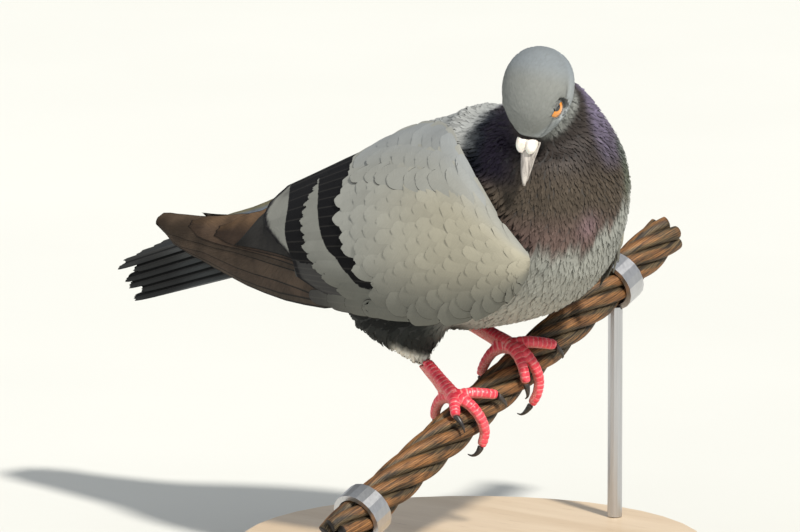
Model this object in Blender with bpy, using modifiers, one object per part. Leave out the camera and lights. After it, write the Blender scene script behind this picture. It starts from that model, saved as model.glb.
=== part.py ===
"""A life-size rock pigeon that looks down past its right foot, gripping a cut length of wire rope
on a plain display stand.

The bird faces +X, its left side is +Y, and the stand's underside is centred on the origin. Every
shape is written in millimetres in the frame of what carries it: the perch frame (the rope's axis
midway between the feet), the head's own frame (X along the bill, Z through the crown) or the floor.
"""

import math

import bmesh
import bpy
from mathutils import Matrix, Vector

MM = 0.001
GAP = 0.3  # clearance between neighbouring solids, in mm
FULL_BELLY = 0.93  # below 1 the underside is fuller than an ellipse
WELD = 0.00001  # vertices closer than this are one

# Perch: a six-strand wire rope, rising to the bird's left.
ROPE_RADIUS = 8.4
ROPE_STRANDS = 6
ROPE_LAY = 102.0
ROPE_RISE = math.radians(24.4)
ROPE_LOW_END = -104.0
ROPE_HIGH_END = 124.0
ROPE_STEPS = 20
PERCH = Vector((14.0, -6.0, 72.0))

# Stand: a round-edged plate and two rods, each ending in a collar round the rope.
BASE_RADIUS = 94.0
BASE_THICKNESS = 11.0
ROD_RADIUS = 3.0
ROD_PLACES = {"low": -86.0, "high": 88.0}
COLLAR_LENGTH = 9.0
COLLAR_WALL = 2.2

# Head: its centre in the perch frame, and where the bill and the crown point.
HEAD_CENTRE = Vector((49.3, -29.5, 132.2))
BILL_DIRECTION = Vector((-0.006, -0.295, -0.956))
CROWN_DIRECTION = Vector((0.20, -0.968, 0.154))

COLOURS = {
    "slate": ((0.20, 0.22, 0.25), 0.75, 0.0),
    "neck_sheen": ((0.13, 0.12, 0.15), 0.55, 0.0),
    "belly_grey": ((0.30, 0.33, 0.35), 0.8, 0.0),
    "covert_grey": ((0.50, 0.49, 0.46), 0.8, 0.0),
    "flight_brown": ((0.13, 0.10, 0.08), 0.7, 0.0),
    "tail_grey": ((0.10, 0.11, 0.12), 0.7, 0.0),
    "eye_orange": ((0.80, 0.28, 0.03), 0.15, 0.0),
    "horn": ((0.18, 0.17, 0.17), 0.4, 0.0),
    "cere_white": ((0.80, 0.78, 0.74), 0.6, 0.0),
    "leg_red": ((0.62, 0.09, 0.11), 0.5, 0.0),
    "rusty_steel": ((0.26, 0.13, 0.06), 0.7, 0.6),
    "stand_wood": ((0.58, 0.47, 0.35), 0.5, 0.0),
    "stand_steel": ((0.55, 0.55, 0.56), 0.3, 1.0),
}


# ---------------------------------------------------------------- scene and small helpers


def clear_scene():
    """Removes every object that the file opened with."""
    for obj in list(bpy.data.objects):
        bpy.data.objects.remove(obj, do_unlink=True)


def collection(name):
    made = bpy.data.collections.new(name)
    bpy.context.scene.collection.children.link(made)
    return made


def material(name):
    colour, roughness, metallic = COLOURS[name]
    made = bpy.data.materials.get(name)
    if made is None:
        made = bpy.data.materials.new(name)
        made.use_nodes = True
        shader = made.node_tree.nodes["Principled BSDF"]
        shader.inputs["Base Color"].default_value = (*colour, 1.0)
        shader.inputs["Roughness"].default_value = roughness
        shader.inputs["Metallic"].default_value = metallic
    return made


def finish_object(obj, colour, parent=None, smooth=True):
    """Gives a new object its material, its parent and its place among the model's solids."""
    for owner in list(obj.users_collection):
        owner.objects.unlink(obj)
    SOLIDS.objects.link(obj)
    obj.data.materials.clear()
    obj.data.materials.append(material(colour))
    if parent:
        obj.parent = parent
    if smooth:
        obj.data.shade_smooth()
        obj.data.set_sharp_from_angle(angle=math.radians(50))
    return obj


def object_from(shape, name, colour, parent=None, smooth=True):
    """Makes an object of a bmesh written in mm, with its faces turned outwards."""
    bmesh.ops.scale(shape, vec=(MM, MM, MM), verts=shape.verts)
    bmesh.ops.recalc_face_normals(shape, faces=shape.faces)
    mesh = bpy.data.meshes.new(name)
    shape.to_mesh(mesh)
    shape.free()
    return finish_object(bpy.data.objects.new(name, mesh), colour, parent, smooth)


def frame(name, centre, x_axis=None, z_axis=None, parent=None):
    """An empty whose axes carry the parts modelled in its frame."""
    empty = bpy.data.objects.new(name, None)
    SOLIDS.objects.link(empty)
    if x_axis is None:
        empty.location = centre * MM
    else:
        x = x_axis.normalized()
        z = (z_axis - x * z_axis.dot(x)).normalized()
        turn = Matrix((x, z.cross(x), z)).transposed()
        empty.matrix_local = Matrix.Translation(centre * MM) @ turn.to_4x4()
    if parent:
        empty.parent = parent
    return empty


def swollen(obj, gap=GAP):
    """A cutter: obj's finished shape, grown by the gap all over."""
    bpy.context.view_layer.update()
    graph = bpy.context.evaluated_depsgraph_get()
    mesh = bpy.data.meshes.new_from_object(obj.evaluated_get(graph))
    shape = bmesh.new()
    shape.from_mesh(mesh)
    shape.normal_update()
    moves = [v.normal * gap * MM * min(v.calc_shell_factor(), 2.0) for v in shape.verts]
    for vert, move in zip(shape.verts, moves):
        vert.co += move
    shape.to_mesh(mesh)
    shape.free()
    cutter = bpy.data.objects.new("clearance_" + obj.name, mesh)
    CUTTERS.objects.link(cutter)
    cutter.matrix_world = obj.matrix_world
    cutter.hide_render = True
    cutter.display_type = "WIRE"
    return cutter


def boolean(obj, other, operation, overlaps_itself=False):
    step = obj.modifiers.new(operation.lower() + "_" + other.name, "BOOLEAN")
    step.operation = operation
    step.object = other
    step.solver = "EXACT"
    step.use_self = overlaps_itself


def cut_clear_of(obj, *neighbours, overlaps_itself=False):
    """Cuts the neighbours' shapes, and the gap round them, out of obj."""
    for neighbour in neighbours:
        boolean(obj, swollen(neighbour), "DIFFERENCE", overlaps_itself)


def spline(rows, count):
    """Reads count evenly spread rows from a smooth curve through the given rows of numbers."""
    rows = [tuple(float(x) for x in row) for row in rows]
    first = tuple(2 * a - b for a, b in zip(rows[0], rows[1]))
    last = tuple(2 * a - b for a, b in zip(rows[-1], rows[-2]))
    padded = [first, *rows, last]
    made = []
    for k in range(count):
        place = k * (len(rows) - 1) / (count - 1)
        i = min(int(place), len(rows) - 2)
        t = place - i
        made.append(
            tuple(
                b + 0.5 * t * (c - a + t * (2 * a - 5 * b + 4 * c - d + t * (3 * (b - c) + d - a)))
                for a, b, c, d in zip(*padded[i : i + 4])
            )
        )
    return made


def bridged(rings, closed_ends=True):
    """A closed bmesh through rings of points, each with the same count, capped at both ends."""
    shape = bmesh.new()
    loops = [[shape.verts.new(point) for point in ring] for ring in rings]
    count = len(loops[0])
    for near, far in zip(loops, loops[1:]):
        for i in range(count):
            j = (i + 1) % count
            shape.faces.new((near[i], near[j], far[j], far[i]))
    if closed_ends:
        shape.faces.new(loops[0])
        shape.faces.new(loops[-1][::-1])
    return shape


def oval_ring(centre, side, up, half_width, above, below, roof, segments):
    """A ring round a body section: an oval with its own heights above and below the centre."""
    ring = []
    for k in range(segments):
        angle = 2 * math.pi * (k + 0.5) / segments
        c, s = math.cos(angle), math.sin(angle)
        power, height = (roof, above) if s > 0 else (FULL_BELLY, below)
        across = math.copysign(abs(c) ** power, c) * half_width
        ring.append(centre + side * across + up * math.copysign(abs(s) ** power, s) * height)
    return ring


def body_rings(stations, count, segments):
    """Rings square to the curve through stations of (x, y, z, half width, above, below, roof)."""
    rows = spline(stations, count)
    centres = [Vector(row[:3]) for row in rows]
    rings = []
    side = Vector((0.0, 1.0, 0.0))
    for k, row in enumerate(rows):
        along = (centres[min(k + 1, count - 1)] - centres[max(k - 1, 0)]).normalized()
        side = (side - along * side.dot(along)).normalized()
        up = along.cross(side)
        rings.append(oval_ring(centres[k], side, up, *row[3:7], segments))
    return rings


def tube(name, points, radii, colour, parent=None, resolution=2):
    """A tapered tube along points, made of a bevelled curve and then welded to a mesh."""
    curve = bpy.data.curves.new(name, "CURVE")
    curve.dimensions = "3D"
    curve.bevel_depth = MM
    curve.bevel_resolution = resolution
    curve.use_fill_caps = True
    line = curve.splines.new("POLY")
    line.points.add(len(points) - 1)
    for point, place, radius in zip(line.points, points, radii):
        point.co = (*(Vector(place) * MM), 1.0)
        point.radius = radius
    guide = bpy.data.objects.new(name + "_line", curve)
    SOLIDS.objects.link(guide)
    bpy.context.view_layer.update()
    graph = bpy.context.evaluated_depsgraph_get()
    mesh = bpy.data.meshes.new_from_object(guide.evaluated_get(graph))
    mesh.name = name
    bpy.data.objects.remove(guide)
    shape = bmesh.new()
    shape.from_mesh(mesh)
    bmesh.ops.remove_doubles(shape, verts=shape.verts, dist=WELD)
    bmesh.ops.recalc_face_normals(shape, faces=shape.faces)
    shape.to_mesh(mesh)
    shape.free()
    return finish_object(bpy.data.objects.new(name, mesh), colour, parent)


# ---------------------------------------------------------------- trunk, neck and head

# x, y, z of the body's middle line, then half width, height above it, depth below it and how far
# the back slopes like a roof (1 is round).
BODY_STATIONS = [
    (-138, 0, 45, 8, 5, 9, 1.0),
    (-122, 0, 50.5, 14, 9, 15, 1.0),
    (-100, 0, 58.5, 22, 12, 20, 1.15),
    (-76, 0, 64, 29, 19.5, 28, 1.15),
    (-50, 0, 67, 36, 31.5, 38, 1.15),
    (-25, 0, 69.5, 40, 40.5, 44, 1.15),
    (-2, 0, 75, 41.5, 42, 47, 1.12),
    (16, 0, 84, 41, 42.5, 48, 1.05),
    (28, -1, 96, 35, 39.5, 40, 1.0),
    (34, -4, 109, 28, 29, 29, 1.0),
    (37, -7, 118, 19.5, 18, 19, 1.0),
    (40, -13, 123.5, 15, 14, 14, 1.0),
    (43.5, -19, 128, 12, 11, 11, 1.0),
    (45.5, -22, 130, 9, 9, 9, 1.0),
]
BODY_COUNT = 31
BODY_SEGMENTS = 20
NECK_STARTS_AT = 18  # the ring where the trunk ends and the neck begins

# x, z of the head's middle line, then half width, height above it and depth below it.
HEAD_STATIONS = [
    (-19.0, 0.4, 1.5, 1.5, 1.5),
    (-17.2, 0.5, 7.4, 7.2, 6.5),
    (-13.0, 0.5, 11.8, 11.4, 9.8),
    (-7.0, 0.5, 14.2, 13.5, 11.6),
    (-1.0, 0.4, 14.8, 13.8, 12.2),
    (5.0, 0.1, 13.8, 13.0, 11.6),
    (10.0, -0.4, 11.3, 11.2, 9.9),
    (14.0, -0.8, 8.4, 8.4, 7.8),
    (17.0, -1.2, 6.0, 5.9, 5.8),
    (18.6, -1.4, 4.7, 4.5, 4.5),
]
EYE_CENTRE = (4.0, 9.4, 1.6)
EYE_RADIUS = 4.9


def build_trunk_and_neck(perch):
    """The body from tail root to nape, parted square to its middle line where the neck begins."""
    rings = body_rings(BODY_STATIONS, BODY_COUNT, BODY_SEGMENTS)
    along = middle(rings[NECK_STARTS_AT]) - middle(rings[NECK_STARTS_AT - 1])
    step = along.normalized() * GAP
    first_of_neck = [point + step for point in rings[NECK_STARTS_AT]]
    trunk = bridged(rings[: NECK_STARTS_AT + 1])
    neck = bridged([first_of_neck, *rings[NECK_STARTS_AT + 1 :]])
    return (
        object_from(trunk, "trunk", "belly_grey", perch),
        object_from(neck, "neck", "neck_sheen", perch),
    )


def middle(ring):
    return sum(ring, Vector()) / len(ring)


def build_head(head_frame):
    """The head from the nape to the bill's root, with sockets for the eyes."""
    stations = [(x, 0, z, width, above, below, 0.96) for x, z, width, above, below in HEAD_STATIONS]
    head = object_from(bridged(body_rings(stations, 15, 18)), "head", "slate", head_frame)
    eyes = []
    for side, sign in (("left", 1), ("right", -1)):
        eye = bmesh.new()
        bmesh.ops.create_uvsphere(eye, u_segments=12, v_segments=8, radius=EYE_RADIUS)
        centre = Vector((EYE_CENTRE[0], sign * EYE_CENTRE[1], EYE_CENTRE[2]))
        bmesh.ops.translate(eye, vec=centre, verts=eye.verts)
        eyes.append(object_from(eye, "eye_" + side, "eye_orange", head_frame))
    cut_clear_of(head, *eyes)
    return head, eyes


# Bill: distance along the head, half width, height of the upper half, depth of the lower half.
BILL_STATIONS = [
    (18.9, 4.2, 3.6, 3.2),
    (21.8, 3.8, 3.3, 2.8),
    (25.5, 3.0, 2.9, 2.3),
    (29.3, 2.4, 2.5, 1.9),
    (33.0, 1.7, 2.1, 1.2),
    (35.6, 1.0, 1.5, 0.6),
    (37.2, 0.5, 0.5, 0.3),
]
GAPE_START = (18.9, -2.2)
GAPE_SLOPE = -0.05
BILL_HOOK = 1.0  # how far the upper tip bends down over the lower one
LOWER_BILL_RINGS = 9


def bill_half(name, head_frame, count, upper):
    """Half of the bill on one side of the gape: a half-round section that tapers to the tip."""
    rings = []
    for x, width, above, below in spline(BILL_STATIONS, 11)[:count]:
        gape = GAPE_START[1] + GAPE_SLOPE * (x - GAPE_START[0])
        reach = (x - GAPE_START[0]) / (BILL_STATIONS[-1][0] - GAPE_START[0])
        gape -= BILL_HOOK * max(0.0, reach - 0.7) / 0.3
        height = above if upper else -below
        edge = GAP / 2 if upper else -GAP / 2
        rings.append(
            [
                Vector((x, -width * math.cos(a), gape + edge + height * math.sin(a)))
                for a in [math.pi * k / 8 for k in range(9)]
            ]
        )
    return object_from(bridged(rings), name, "horn", head_frame)


def build_bill(head_frame, head):
    """Both halves of the bill and the two white lobes of the cere over its root."""
    upper = bill_half("bill_upper", head_frame, 11, True)
    lower = bill_half("bill_lower", head_frame, LOWER_BILL_RINGS, False)
    for half in (upper, lower):
        cut_clear_of(half, head)
    lobes = []
    for sign in (1, -1):
        lobe = bmesh.new()
        bmesh.ops.create_uvsphere(lobe, u_segments=10, v_segments=6, radius=1.0)
        bmesh.ops.scale(lobe, vec=(4.3, 2.7, 2.4), verts=lobe.verts)
        bmesh.ops.translate(lobe, vec=(20.7, sign * 2.1, 0.9), verts=lobe.verts)
        name = "cere" if sign > 0 else "cere_right_lobe"
        lobes.append(object_from(lobe, name, "cere_white", head_frame))
    cere, other_lobe = lobes
    hide_as_cutter(other_lobe)
    boolean(cere, other_lobe, "UNION")
    cut_clear_of(cere, head, upper)
    return upper, lower, cere


def hide_as_cutter(obj):
    SOLIDS.objects.unlink(obj)
    CUTTERS.objects.link(obj)
    obj.hide_render = True
    obj.display_type = "WIRE"


# ---------------------------------------------------------------- wings and tail

# Right wing, folded, from the wrist to the tip: its upper edge along the back, its widest line and
# its lower edge, as x, y, z.
WING_STATIONS = [
    ((52, -39, 70), (54, -40, 66), (52, -39, 61)),
    ((42, -40.5, 80), (49, -46, 68), (47, -41, 52)),
    ((29, -38.5, 92), (39, -49.5, 71), (37, -43, 43)),
    ((15, -35.5, 104.5), (23, -51, 75), (22, -45, 37)),
    ((0, -27, 111.5), (4, -51, 77), (2, -46, 34)),
    ((-24, -16, 109.5), (-23, -49, 75), (-24, -45, 33)),
    ((-51, -11, 99), (-51, -44, 69), (-51, -40, 34)),
    ((-76, -9, 87), (-76, -36, 63), (-76, -34, 35)),
    ((-100, -7, 75.5), (-100, -27, 57), (-100, -28, 37)),
    ((-125, -6, 64), (-125, -20, 53), (-125, -21, 40)),
    ((-147, -8, 59), (-147, -15, 53), (-147, -16, 44.5)),
    ((-165, -11, 57), (-165, -13, 55), (-165, -13, 53)),
]
WING_COUNT = 17
WING_ARC = 8  # points across the wing from its upper to its lower edge
WING_DEPTH = 13.0  # how far the shield reaches in towards the body
WING_EDGE = 1.2  # thickness along the upper and lower edges
PRIMARY_STEP = 1.2  # how far the long primaries lie inside the shield's surface
PRIMARY_DEPTH = 2.2
LEFT_TIP_SHIFT = (6.0, -3.0)  # the left wing's tip lies further out and lower, clear of the tail
LEFT_BEND_SHIFT = (-14.0, -4.0)  # its bend is drawn back and in, behind the breast
WING_PARTING = (Vector((-81.0, 0.0, 52.0)), Vector((0.46, 0.0, 0.888)))


def wing_arc(row, inset, depth):
    """One section of the folded wing: outer arc from top to bottom, then the inner arc back."""
    top, middle_line, low = Vector(row[0:3]), Vector(row[3:6]), Vector(row[6:9])
    control = 2 * middle_line - 0.5 * (top + low)
    heart = Vector((middle_line.x, 0.25 * middle_line.y, 0.5 * (top.z + low.z)))
    outer, inner = [], []
    for k in range(WING_ARC):
        t = k / (WING_ARC - 1)
        point = (1 - t) ** 2 * top + 2 * t * (1 - t) * control + t * t * low
        inwards = (heart - point).normalized()
        outer.append(point + inwards * inset)
        inner.append(point + inwards * (inset + WING_EDGE + depth * math.sin(math.pi * t)))
    return outer + inner[::-1]


def part_with_plane(shape, point, normal, keep_front):
    """Cuts a closed bmesh with a plane and keeps what is in front of it, or what is behind."""
    faces = bmesh.ops.bisect_plane(
        shape,
        geom=[*shape.verts, *shape.edges, *shape.faces],
        plane_co=point,
        plane_no=normal,
        clear_inner=keep_front,
        clear_outer=not keep_front,
    )
    open_edges = [e for e in faces["geom_cut"] if isinstance(e, bmesh.types.BMEdge)]
    bmesh.ops.triangle_fill(shape, edges=open_edges, use_beauty=True)


def build_wing(side, perch, neighbours):
    """The covert shield with its secondaries, and the primaries that show behind and below it."""
    rows = spline([sum(station, ()) for station in WING_STATIONS], WING_COUNT)
    point, normal = WING_PARTING
    made = []
    for part, inset, depth, front, colour in (
        ("shield", 0.0, WING_DEPTH, True, "covert_grey"),
        ("primaries", PRIMARY_STEP, PRIMARY_DEPTH, False, "flight_brown"),
    ):
        rings = []
        for row in rows:
            slim = min(1.0, 0.2 + (row[3] + 165.0) / 110.0, 0.1 + (54.0 - row[3]) / 25.0)
            rings.append(wing_arc(row, inset * slim, depth * slim))
        shape = bridged(rings)
        part_with_plane(shape, point + normal * (GAP / 2 if front else -GAP / 2), normal, front)
        if side == "left":
            bmesh.ops.scale(shape, vec=(1, -1, 1), verts=shape.verts)
            for vert in shape.verts:
                to_tip = max(0.0, -90.0 - vert.co.x) / 75.0
                to_bend = max(0.0, vert.co.x + 10.0) / 60.0
                vert.co += Vector((0.0, *LEFT_TIP_SHIFT)) * to_tip
                vert.co += Vector((*LEFT_BEND_SHIFT, 0.0)) * to_bend
        made.append(object_from(shape, f"wing_{side}_{part}", colour, perch))
    for wing in made:
        cut_clear_of(wing, *neighbours)
    return made


# Tail: twelve feathers laid side by side, folded like a roof and rolled so that the left side rides
# high; each feather lies a step below its neighbour towards the middle.
TAIL_TIP = Vector((-191.0, 0.0, 33.5))
TAIL_SLOPE = math.radians(20.0)
TAIL_ROLL = math.radians(46.0)
TAIL_ROOF = math.radians(23.0)
TAIL_LENGTH = 96.0
TAIL_FEATHERS = 12
TAIL_HALF_TIP = 15.5
TAIL_HALF_ROOT = {"right": 20.0, "left": 6.0}
TAIL_SHORTENING = 8.0  # how much shorter the outermost feathers are
FEATHER_STEP = 0.45
FEATHER_THICKNESS = 1.2
FEATHER_TIP = 3.6  # how far a feather's rounded end reaches past its corners
FEATHER_COLUMNS = (-0.98, -0.5, 0.5, 0.98)


def tail_point(feather, column, share, drop):
    """A point on the tail: share runs from root (0) to tip (1), drop is the depth below the top."""
    middle_feather = (TAIL_FEATHERS - 1) / 2
    place = (feather + 0.5 * column - middle_feather) / middle_feather
    side = "right" if place < 0 else "left"
    half = TAIL_HALF_ROOT[side] + (TAIL_HALF_TIP - TAIL_HALF_ROOT[side]) * share
    length = TAIL_LENGTH - TAIL_SHORTENING * place**2
    rounded_off = FEATHER_TIP * share**8 * (abs(column) > 0.9)
    slope = TAIL_ROOF * min(1.0, 3 * abs(place))
    across = place * half * math.cos(slope)
    down = abs(place) * half * math.sin(slope) + FEATHER_STEP * abs(feather - middle_feather) + drop
    return Vector((-(length * share - rounded_off), across, -down))


def build_tail(perch, neighbours):
    """Twelve tail feathers as one thin stepped plate."""
    pose = Matrix.Rotation(-TAIL_SLOPE, 4, "Y") @ Matrix.Rotation(TAIL_ROLL, 4, "X")
    root = TAIL_TIP - pose @ Vector((-TAIL_LENGTH, 0.0, 0.0))
    shares = (0.0, 0.5, 0.93, 1.0)
    grids = [
        [
            [tail_point(feather, column, share, drop) for share in shares]
            for feather in range(TAIL_FEATHERS)
            for column in FEATHER_COLUMNS
        ]
        for drop in (0.0, FEATHER_THICKNESS)
    ]
    plate = solid_between(*grids)
    bmesh.ops.transform(plate, matrix=Matrix.Translation(root) @ pose, verts=plate.verts)
    tail = object_from(plate, "tail", "tail_grey", perch, smooth=False)
    cut_clear_of(tail, *neighbours)
    return tail


def solid_between(top, bottom):
    """A closed bmesh between two grids of points, each a list of equally long rows."""
    shape = bmesh.new()
    upper, lower = ([[shape.verts.new(p) for p in row] for row in grid] for grid in (top, bottom))
    rows, columns = len(top), len(top[0])
    for grid in (upper, lower):
        for i in range(rows - 1):
            for j in range(columns - 1):
                shape.faces.new((grid[i][j], grid[i + 1][j], grid[i + 1][j + 1], grid[i][j + 1]))
    rim = [(i, 0) for i in range(rows)] + [(rows - 1, j) for j in range(1, columns)]
    rim += [(i, columns - 1) for i in range(rows - 2, -1, -1)]
    rim += [(0, j) for j in range(columns - 2, 0, -1)]
    for (i, j), (m, n) in zip(rim, rim[1:] + rim[:1]):
        shape.faces.new((upper[i][j], upper[m][n], lower[m][n], lower[i][j]))
    return shape


# ---------------------------------------------------------------- legs

SHANK_RADIUS = 3.0
TOE_RADIUS = 2.6
TOE_TIP_RADIUS = 2.1
CLAW_LENGTH = 8.6
CLAW_RADIUS = 1.6
ROPE_ALONG = Vector((0.0, math.cos(ROPE_RISE), math.sin(ROPE_RISE)))
ROPE_TOP = Vector((0.0, -math.sin(ROPE_RISE), math.cos(ROPE_RISE)))
FORWARD = Vector((1.0, 0.0, 0.0))

# Each foot: where it stands along the rope, its ankle, the feathered thigh as (x, y, z, half width,
# half length fore and aft), and its toes. A toe ends at an angle round the rope from its top
# (forward is positive) and at a distance along it from the foot, and may hang on past the rope;
# the last number is how far its claw curls back.
FEET = {
    "right": {
        "along": -19.2,
        "ankle": Vector((-25.0, -20.5, 22.0)),
        "thigh": [
            (-24, -22, 50, 13, 30),
            (-28, -22, 36, 12.5, 28.5),
            (-28, -22, 27, 11, 23),
            (-25, -21.5, 21.5, 8.5, 14),
            (-21.5, -21, 18, 5.5, 7.5),
            (-18.2, -20.8, 15.6, 3.9, 4.4),
            (-16, -20.6, 14.2, 3.4, 3.6),
        ],
        "toes": {
            "hallux": (-82.0, -2.0, (), 0.3),
            "inner": (60.0, 14.0, (), 0.3),
            "middle": (104.0, 0.5, ((-0.6, -0.2, -3.2), (-1.0, -0.3, -3.0)), 0.55),
            "outer": (36.0, -8.5, (), 0.3),
        },
    },
    "left": {
        "along": 19.2,
        "ankle": Vector((-27.5, 15.0, 27.5)),
        "thigh": [
            (-20, 21, 52, 12, 22),
            (-24, 20, 42, 12, 20),
            (-28, 18, 32, 10, 16),
            (-30, 16.5, 26, 7, 10),
            (-30, 15.5, 22.5, 3, 4),
        ],
        "toes": {
            "hallux": (-80.0, -9.0, (), 0.3),
            "inner": (84.0, -8.5, (), 0.3),
            "middle": (104.0, -0.5, ((-0.8, 0.0, -5.2), (-3.0, -0.6, -4.8)), 0.25),
            "outer": (66.0, 14.5, (), 0.3),
        },
    },
}


def round_rope(along, degrees, distance):
    """The point at an angle round the rope from its top, a distance out from its axis."""
    angle = math.radians(degrees)
    out = FORWARD * math.sin(angle) + ROPE_TOP * math.cos(angle)
    return ROPE_ALONG * along + out * distance


def toe_points(start, end_angle, end_along, hang):
    """Points of a toe that leaves the foot's joint, follows the rope and may hang past it."""
    clear = ROPE_RADIUS + GAP + TOE_RADIUS
    steps = 5
    points = []
    for k in range(steps + 1):
        t = k / steps
        arch = 1.3 * math.sin(math.pi * min(1.0, 1.4 * t)) * (1 - t)
        points.append(round_rope(start + end_along * t, end_angle * t, clear + arch + 0.2))
    for step in hang:
        points.append(points[-1] + Vector(step))
    return points


def build_claw(name, base, heading, curl, perch):
    """A claw that carries on from its toe and hooks as curl says."""
    steps = 5
    place = Vector(base)
    points, radii = [], []
    for k in range(steps + 1):
        points.append(place.copy())
        radii.append(max(0.25, CLAW_RADIUS * (1 - (k / steps) ** 1.6)))
        bend = heading * math.cos(0.36 * k) + curl * math.sin(0.36 * k)
        place += bend.normalized() * CLAW_LENGTH / steps
    return tube(name, points, radii, "horn", perch, 1)


def build_leg(side, perch, neighbours):
    """The feathered thigh, the bare shank with its four toes in one piece, and four claws."""
    foot = FEET[side]
    rings = [
        [
            Vector((x + length * math.cos(a), y + width * math.sin(a), z))
            for a in [math.tau * k / 12 for k in range(12)]
        ]
        for x, y, z, width, length in spline(foot["thigh"], 7)
    ]
    thigh = object_from(bridged(rings), "thigh_" + side, "belly_grey", perch)

    joint = round_rope(foot["along"], 0.0, ROPE_RADIUS + GAP + SHANK_RADIUS + 0.4)
    shank = tube(
        "foot_" + side,
        [foot["ankle"].lerp(joint, t) for t in (0.0, 0.35, 0.7, 0.92, 1.06)],
        [SHANK_RADIUS * swell for swell in (1.05, 0.95, 1.0, 1.15, 1.0)],
        "leg_red",
        perch,
    )
    claws = []
    for toe_name, (end_angle, end_along, hang, curl) in foot["toes"].items():
        points = toe_points(foot["along"], end_angle, end_along, hang)
        last = len(points) - 1
        radii = [TOE_RADIUS + (TOE_TIP_RADIUS - TOE_RADIUS) * k / last for k in range(last + 1)]
        toe = tube(f"toe_{side}_{toe_name}", points, radii, "leg_red", perch, 1)
        hide_as_cutter(toe)
        boolean(shank, toe, "UNION")
        heading = (points[-1] - points[-2]).normalized()
        inwards = (ROPE_ALONG * points[-1].dot(ROPE_ALONG) - points[-1]).normalized()
        start = points[-1] - 0.4 * heading
        if not hang:
            # A toe that ends on the rope turns its claw round it.
            onwards = inwards.cross(ROPE_ALONG) * math.copysign(1.0, end_angle)
            heading = (0.5 * heading + onwards).normalized()
        name = f"claw_{side}_{toe_name}"
        claws.append(build_claw(name, start, heading, inwards * curl, perch))
    cut_clear_of(thigh, *neighbours)
    cut_clear_of(shank, thigh, *neighbours[:1])
    for claw in claws:
        cut_clear_of(claw, shank)


# ---------------------------------------------------------------- perch and stand


def build_rope(perch):
    """Six strands laid right-handed round a straight core, cut square at both ends."""
    strand_radius = ROPE_RADIUS / 3
    helix = ROPE_RADIUS - strand_radius
    length = ROPE_HIGH_END - ROPE_LOW_END
    lay_angle = math.atan(2 * math.pi * helix / ROPE_LAY)
    wire_radius = strand_radius * math.cos(lay_angle) - GAP / 2
    for strand in range(ROPE_STRANDS):
        points = []
        for k in range(ROPE_STEPS + 1):
            along = ROPE_LOW_END + length * k / ROPE_STEPS
            turn = 360.0 * (strand / ROPE_STRANDS + along / ROPE_LAY)
            points.append(round_rope(along, turn, helix))
        tube(f"rope_strand_{strand + 1}", points, [wire_radius] * len(points), "rusty_steel", perch, 1)
    core = [ROPE_ALONG * ROPE_LOW_END, ROPE_ALONG * ROPE_HIGH_END]
    core_radius = helix - wire_radius - GAP
    tube("rope_core", core, [core_radius] * 2, "rusty_steel", perch, 1)


def build_stand(perch):
    """A round plate on the floor and two rods, each carrying a collar round the rope."""
    plate = bmesh.new()
    bmesh.ops.create_cone(
        plate,
        cap_ends=True,
        segments=40,
        radius1=BASE_RADIUS,
        radius2=BASE_RADIUS,
        depth=BASE_THICKNESS,
    )
    bmesh.ops.translate(plate, vec=(0, 0, BASE_THICKNESS / 2), verts=plate.verts)
    base = object_from(plate, "stand_base", "stand_wood")
    rounding = base.modifiers.new("rounded_rim", "BEVEL")
    rounding.width = 2.0 * MM
    rounding.segments = 2
    rounding.limit_method = "ANGLE"
    rounding.angle_limit = math.radians(40)

    for place, along in ROD_PLACES.items():
        centre = ROPE_ALONG * along
        collar = collar_round_rope("stand_collar_" + place, along, perch)
        top = PERCH + centre
        rod_top = top.z - (ROPE_RADIUS + COLLAR_WALL + GAP) / math.cos(ROPE_RISE) + 1.2
        rod = tube(
            "stand_rod_" + place,
            [(top.x, top.y, BASE_THICKNESS + GAP), (top.x, top.y, rod_top)],
            [ROD_RADIUS] * 2,
            "stand_steel",
            resolution=4,
        )
        cut_clear_of(rod, collar)


def collar_round_rope(name, along, perch):
    """A short tube round the rope, clear of its strands."""
    inner = ROPE_RADIUS + GAP
    outer = inner + COLLAR_WALL
    profile = [(inner, -0.5), (outer, -0.5), (outer, 0.5), (inner, 0.5)]
    segments = 20
    rings = []
    for k in range(segments):
        angle = 360.0 * k / segments
        rings.append([round_rope(along + COLLAR_LENGTH * z, angle, r) for r, z in profile])
    shape = bridged([*rings, rings[0]], closed_ends=False)
    bmesh.ops.remove_doubles(shape, verts=shape.verts, dist=WELD)
    return object_from(shape, name, "stand_steel", perch)


def main():
    perch = frame("perch_frame", PERCH)
    head_frame = frame("head_frame", HEAD_CENTRE, BILL_DIRECTION, CROWN_DIRECTION, perch)
    head, eyes = build_head(head_frame)
    build_bill(head_frame, head)
    trunk, neck = build_trunk_and_neck(perch)
    cut_clear_of(neck, head, *eyes)
    wings = []
    for side in ("right", "left"):
        wing = build_wing(side, perch, (trunk, neck))
        build_leg(side, perch, (trunk, wing[0]))
        wings += wing
    build_tail(perch, (trunk, *wings))
    build_rope(perch)
    build_stand(perch)


clear_scene()
SOLIDS = collection("pigeon_on_perch")
CUTTERS = collection("cutters")
main()
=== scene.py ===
"""Looks of a life-size pigeon that grips a cut length of wire rope on a display stand.

One skin carries a coat of separate feathers. Shapes are worked out in millimetres in the perch
frame (X forwards, Y to the bird's left, Z up, centred on the rope midway between the feet) and
are turned into metres in the row frame when a piece is finished.
"""

import logging
import math
from collections import defaultdict
from dataclasses import dataclass, field
from enum import Enum
from typing import Callable, Iterable, Sequence

import bmesh
import bpy
import numpy as np
from mathutils import Matrix, Vector
from mathutils.bvhtree import BVHTree


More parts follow.
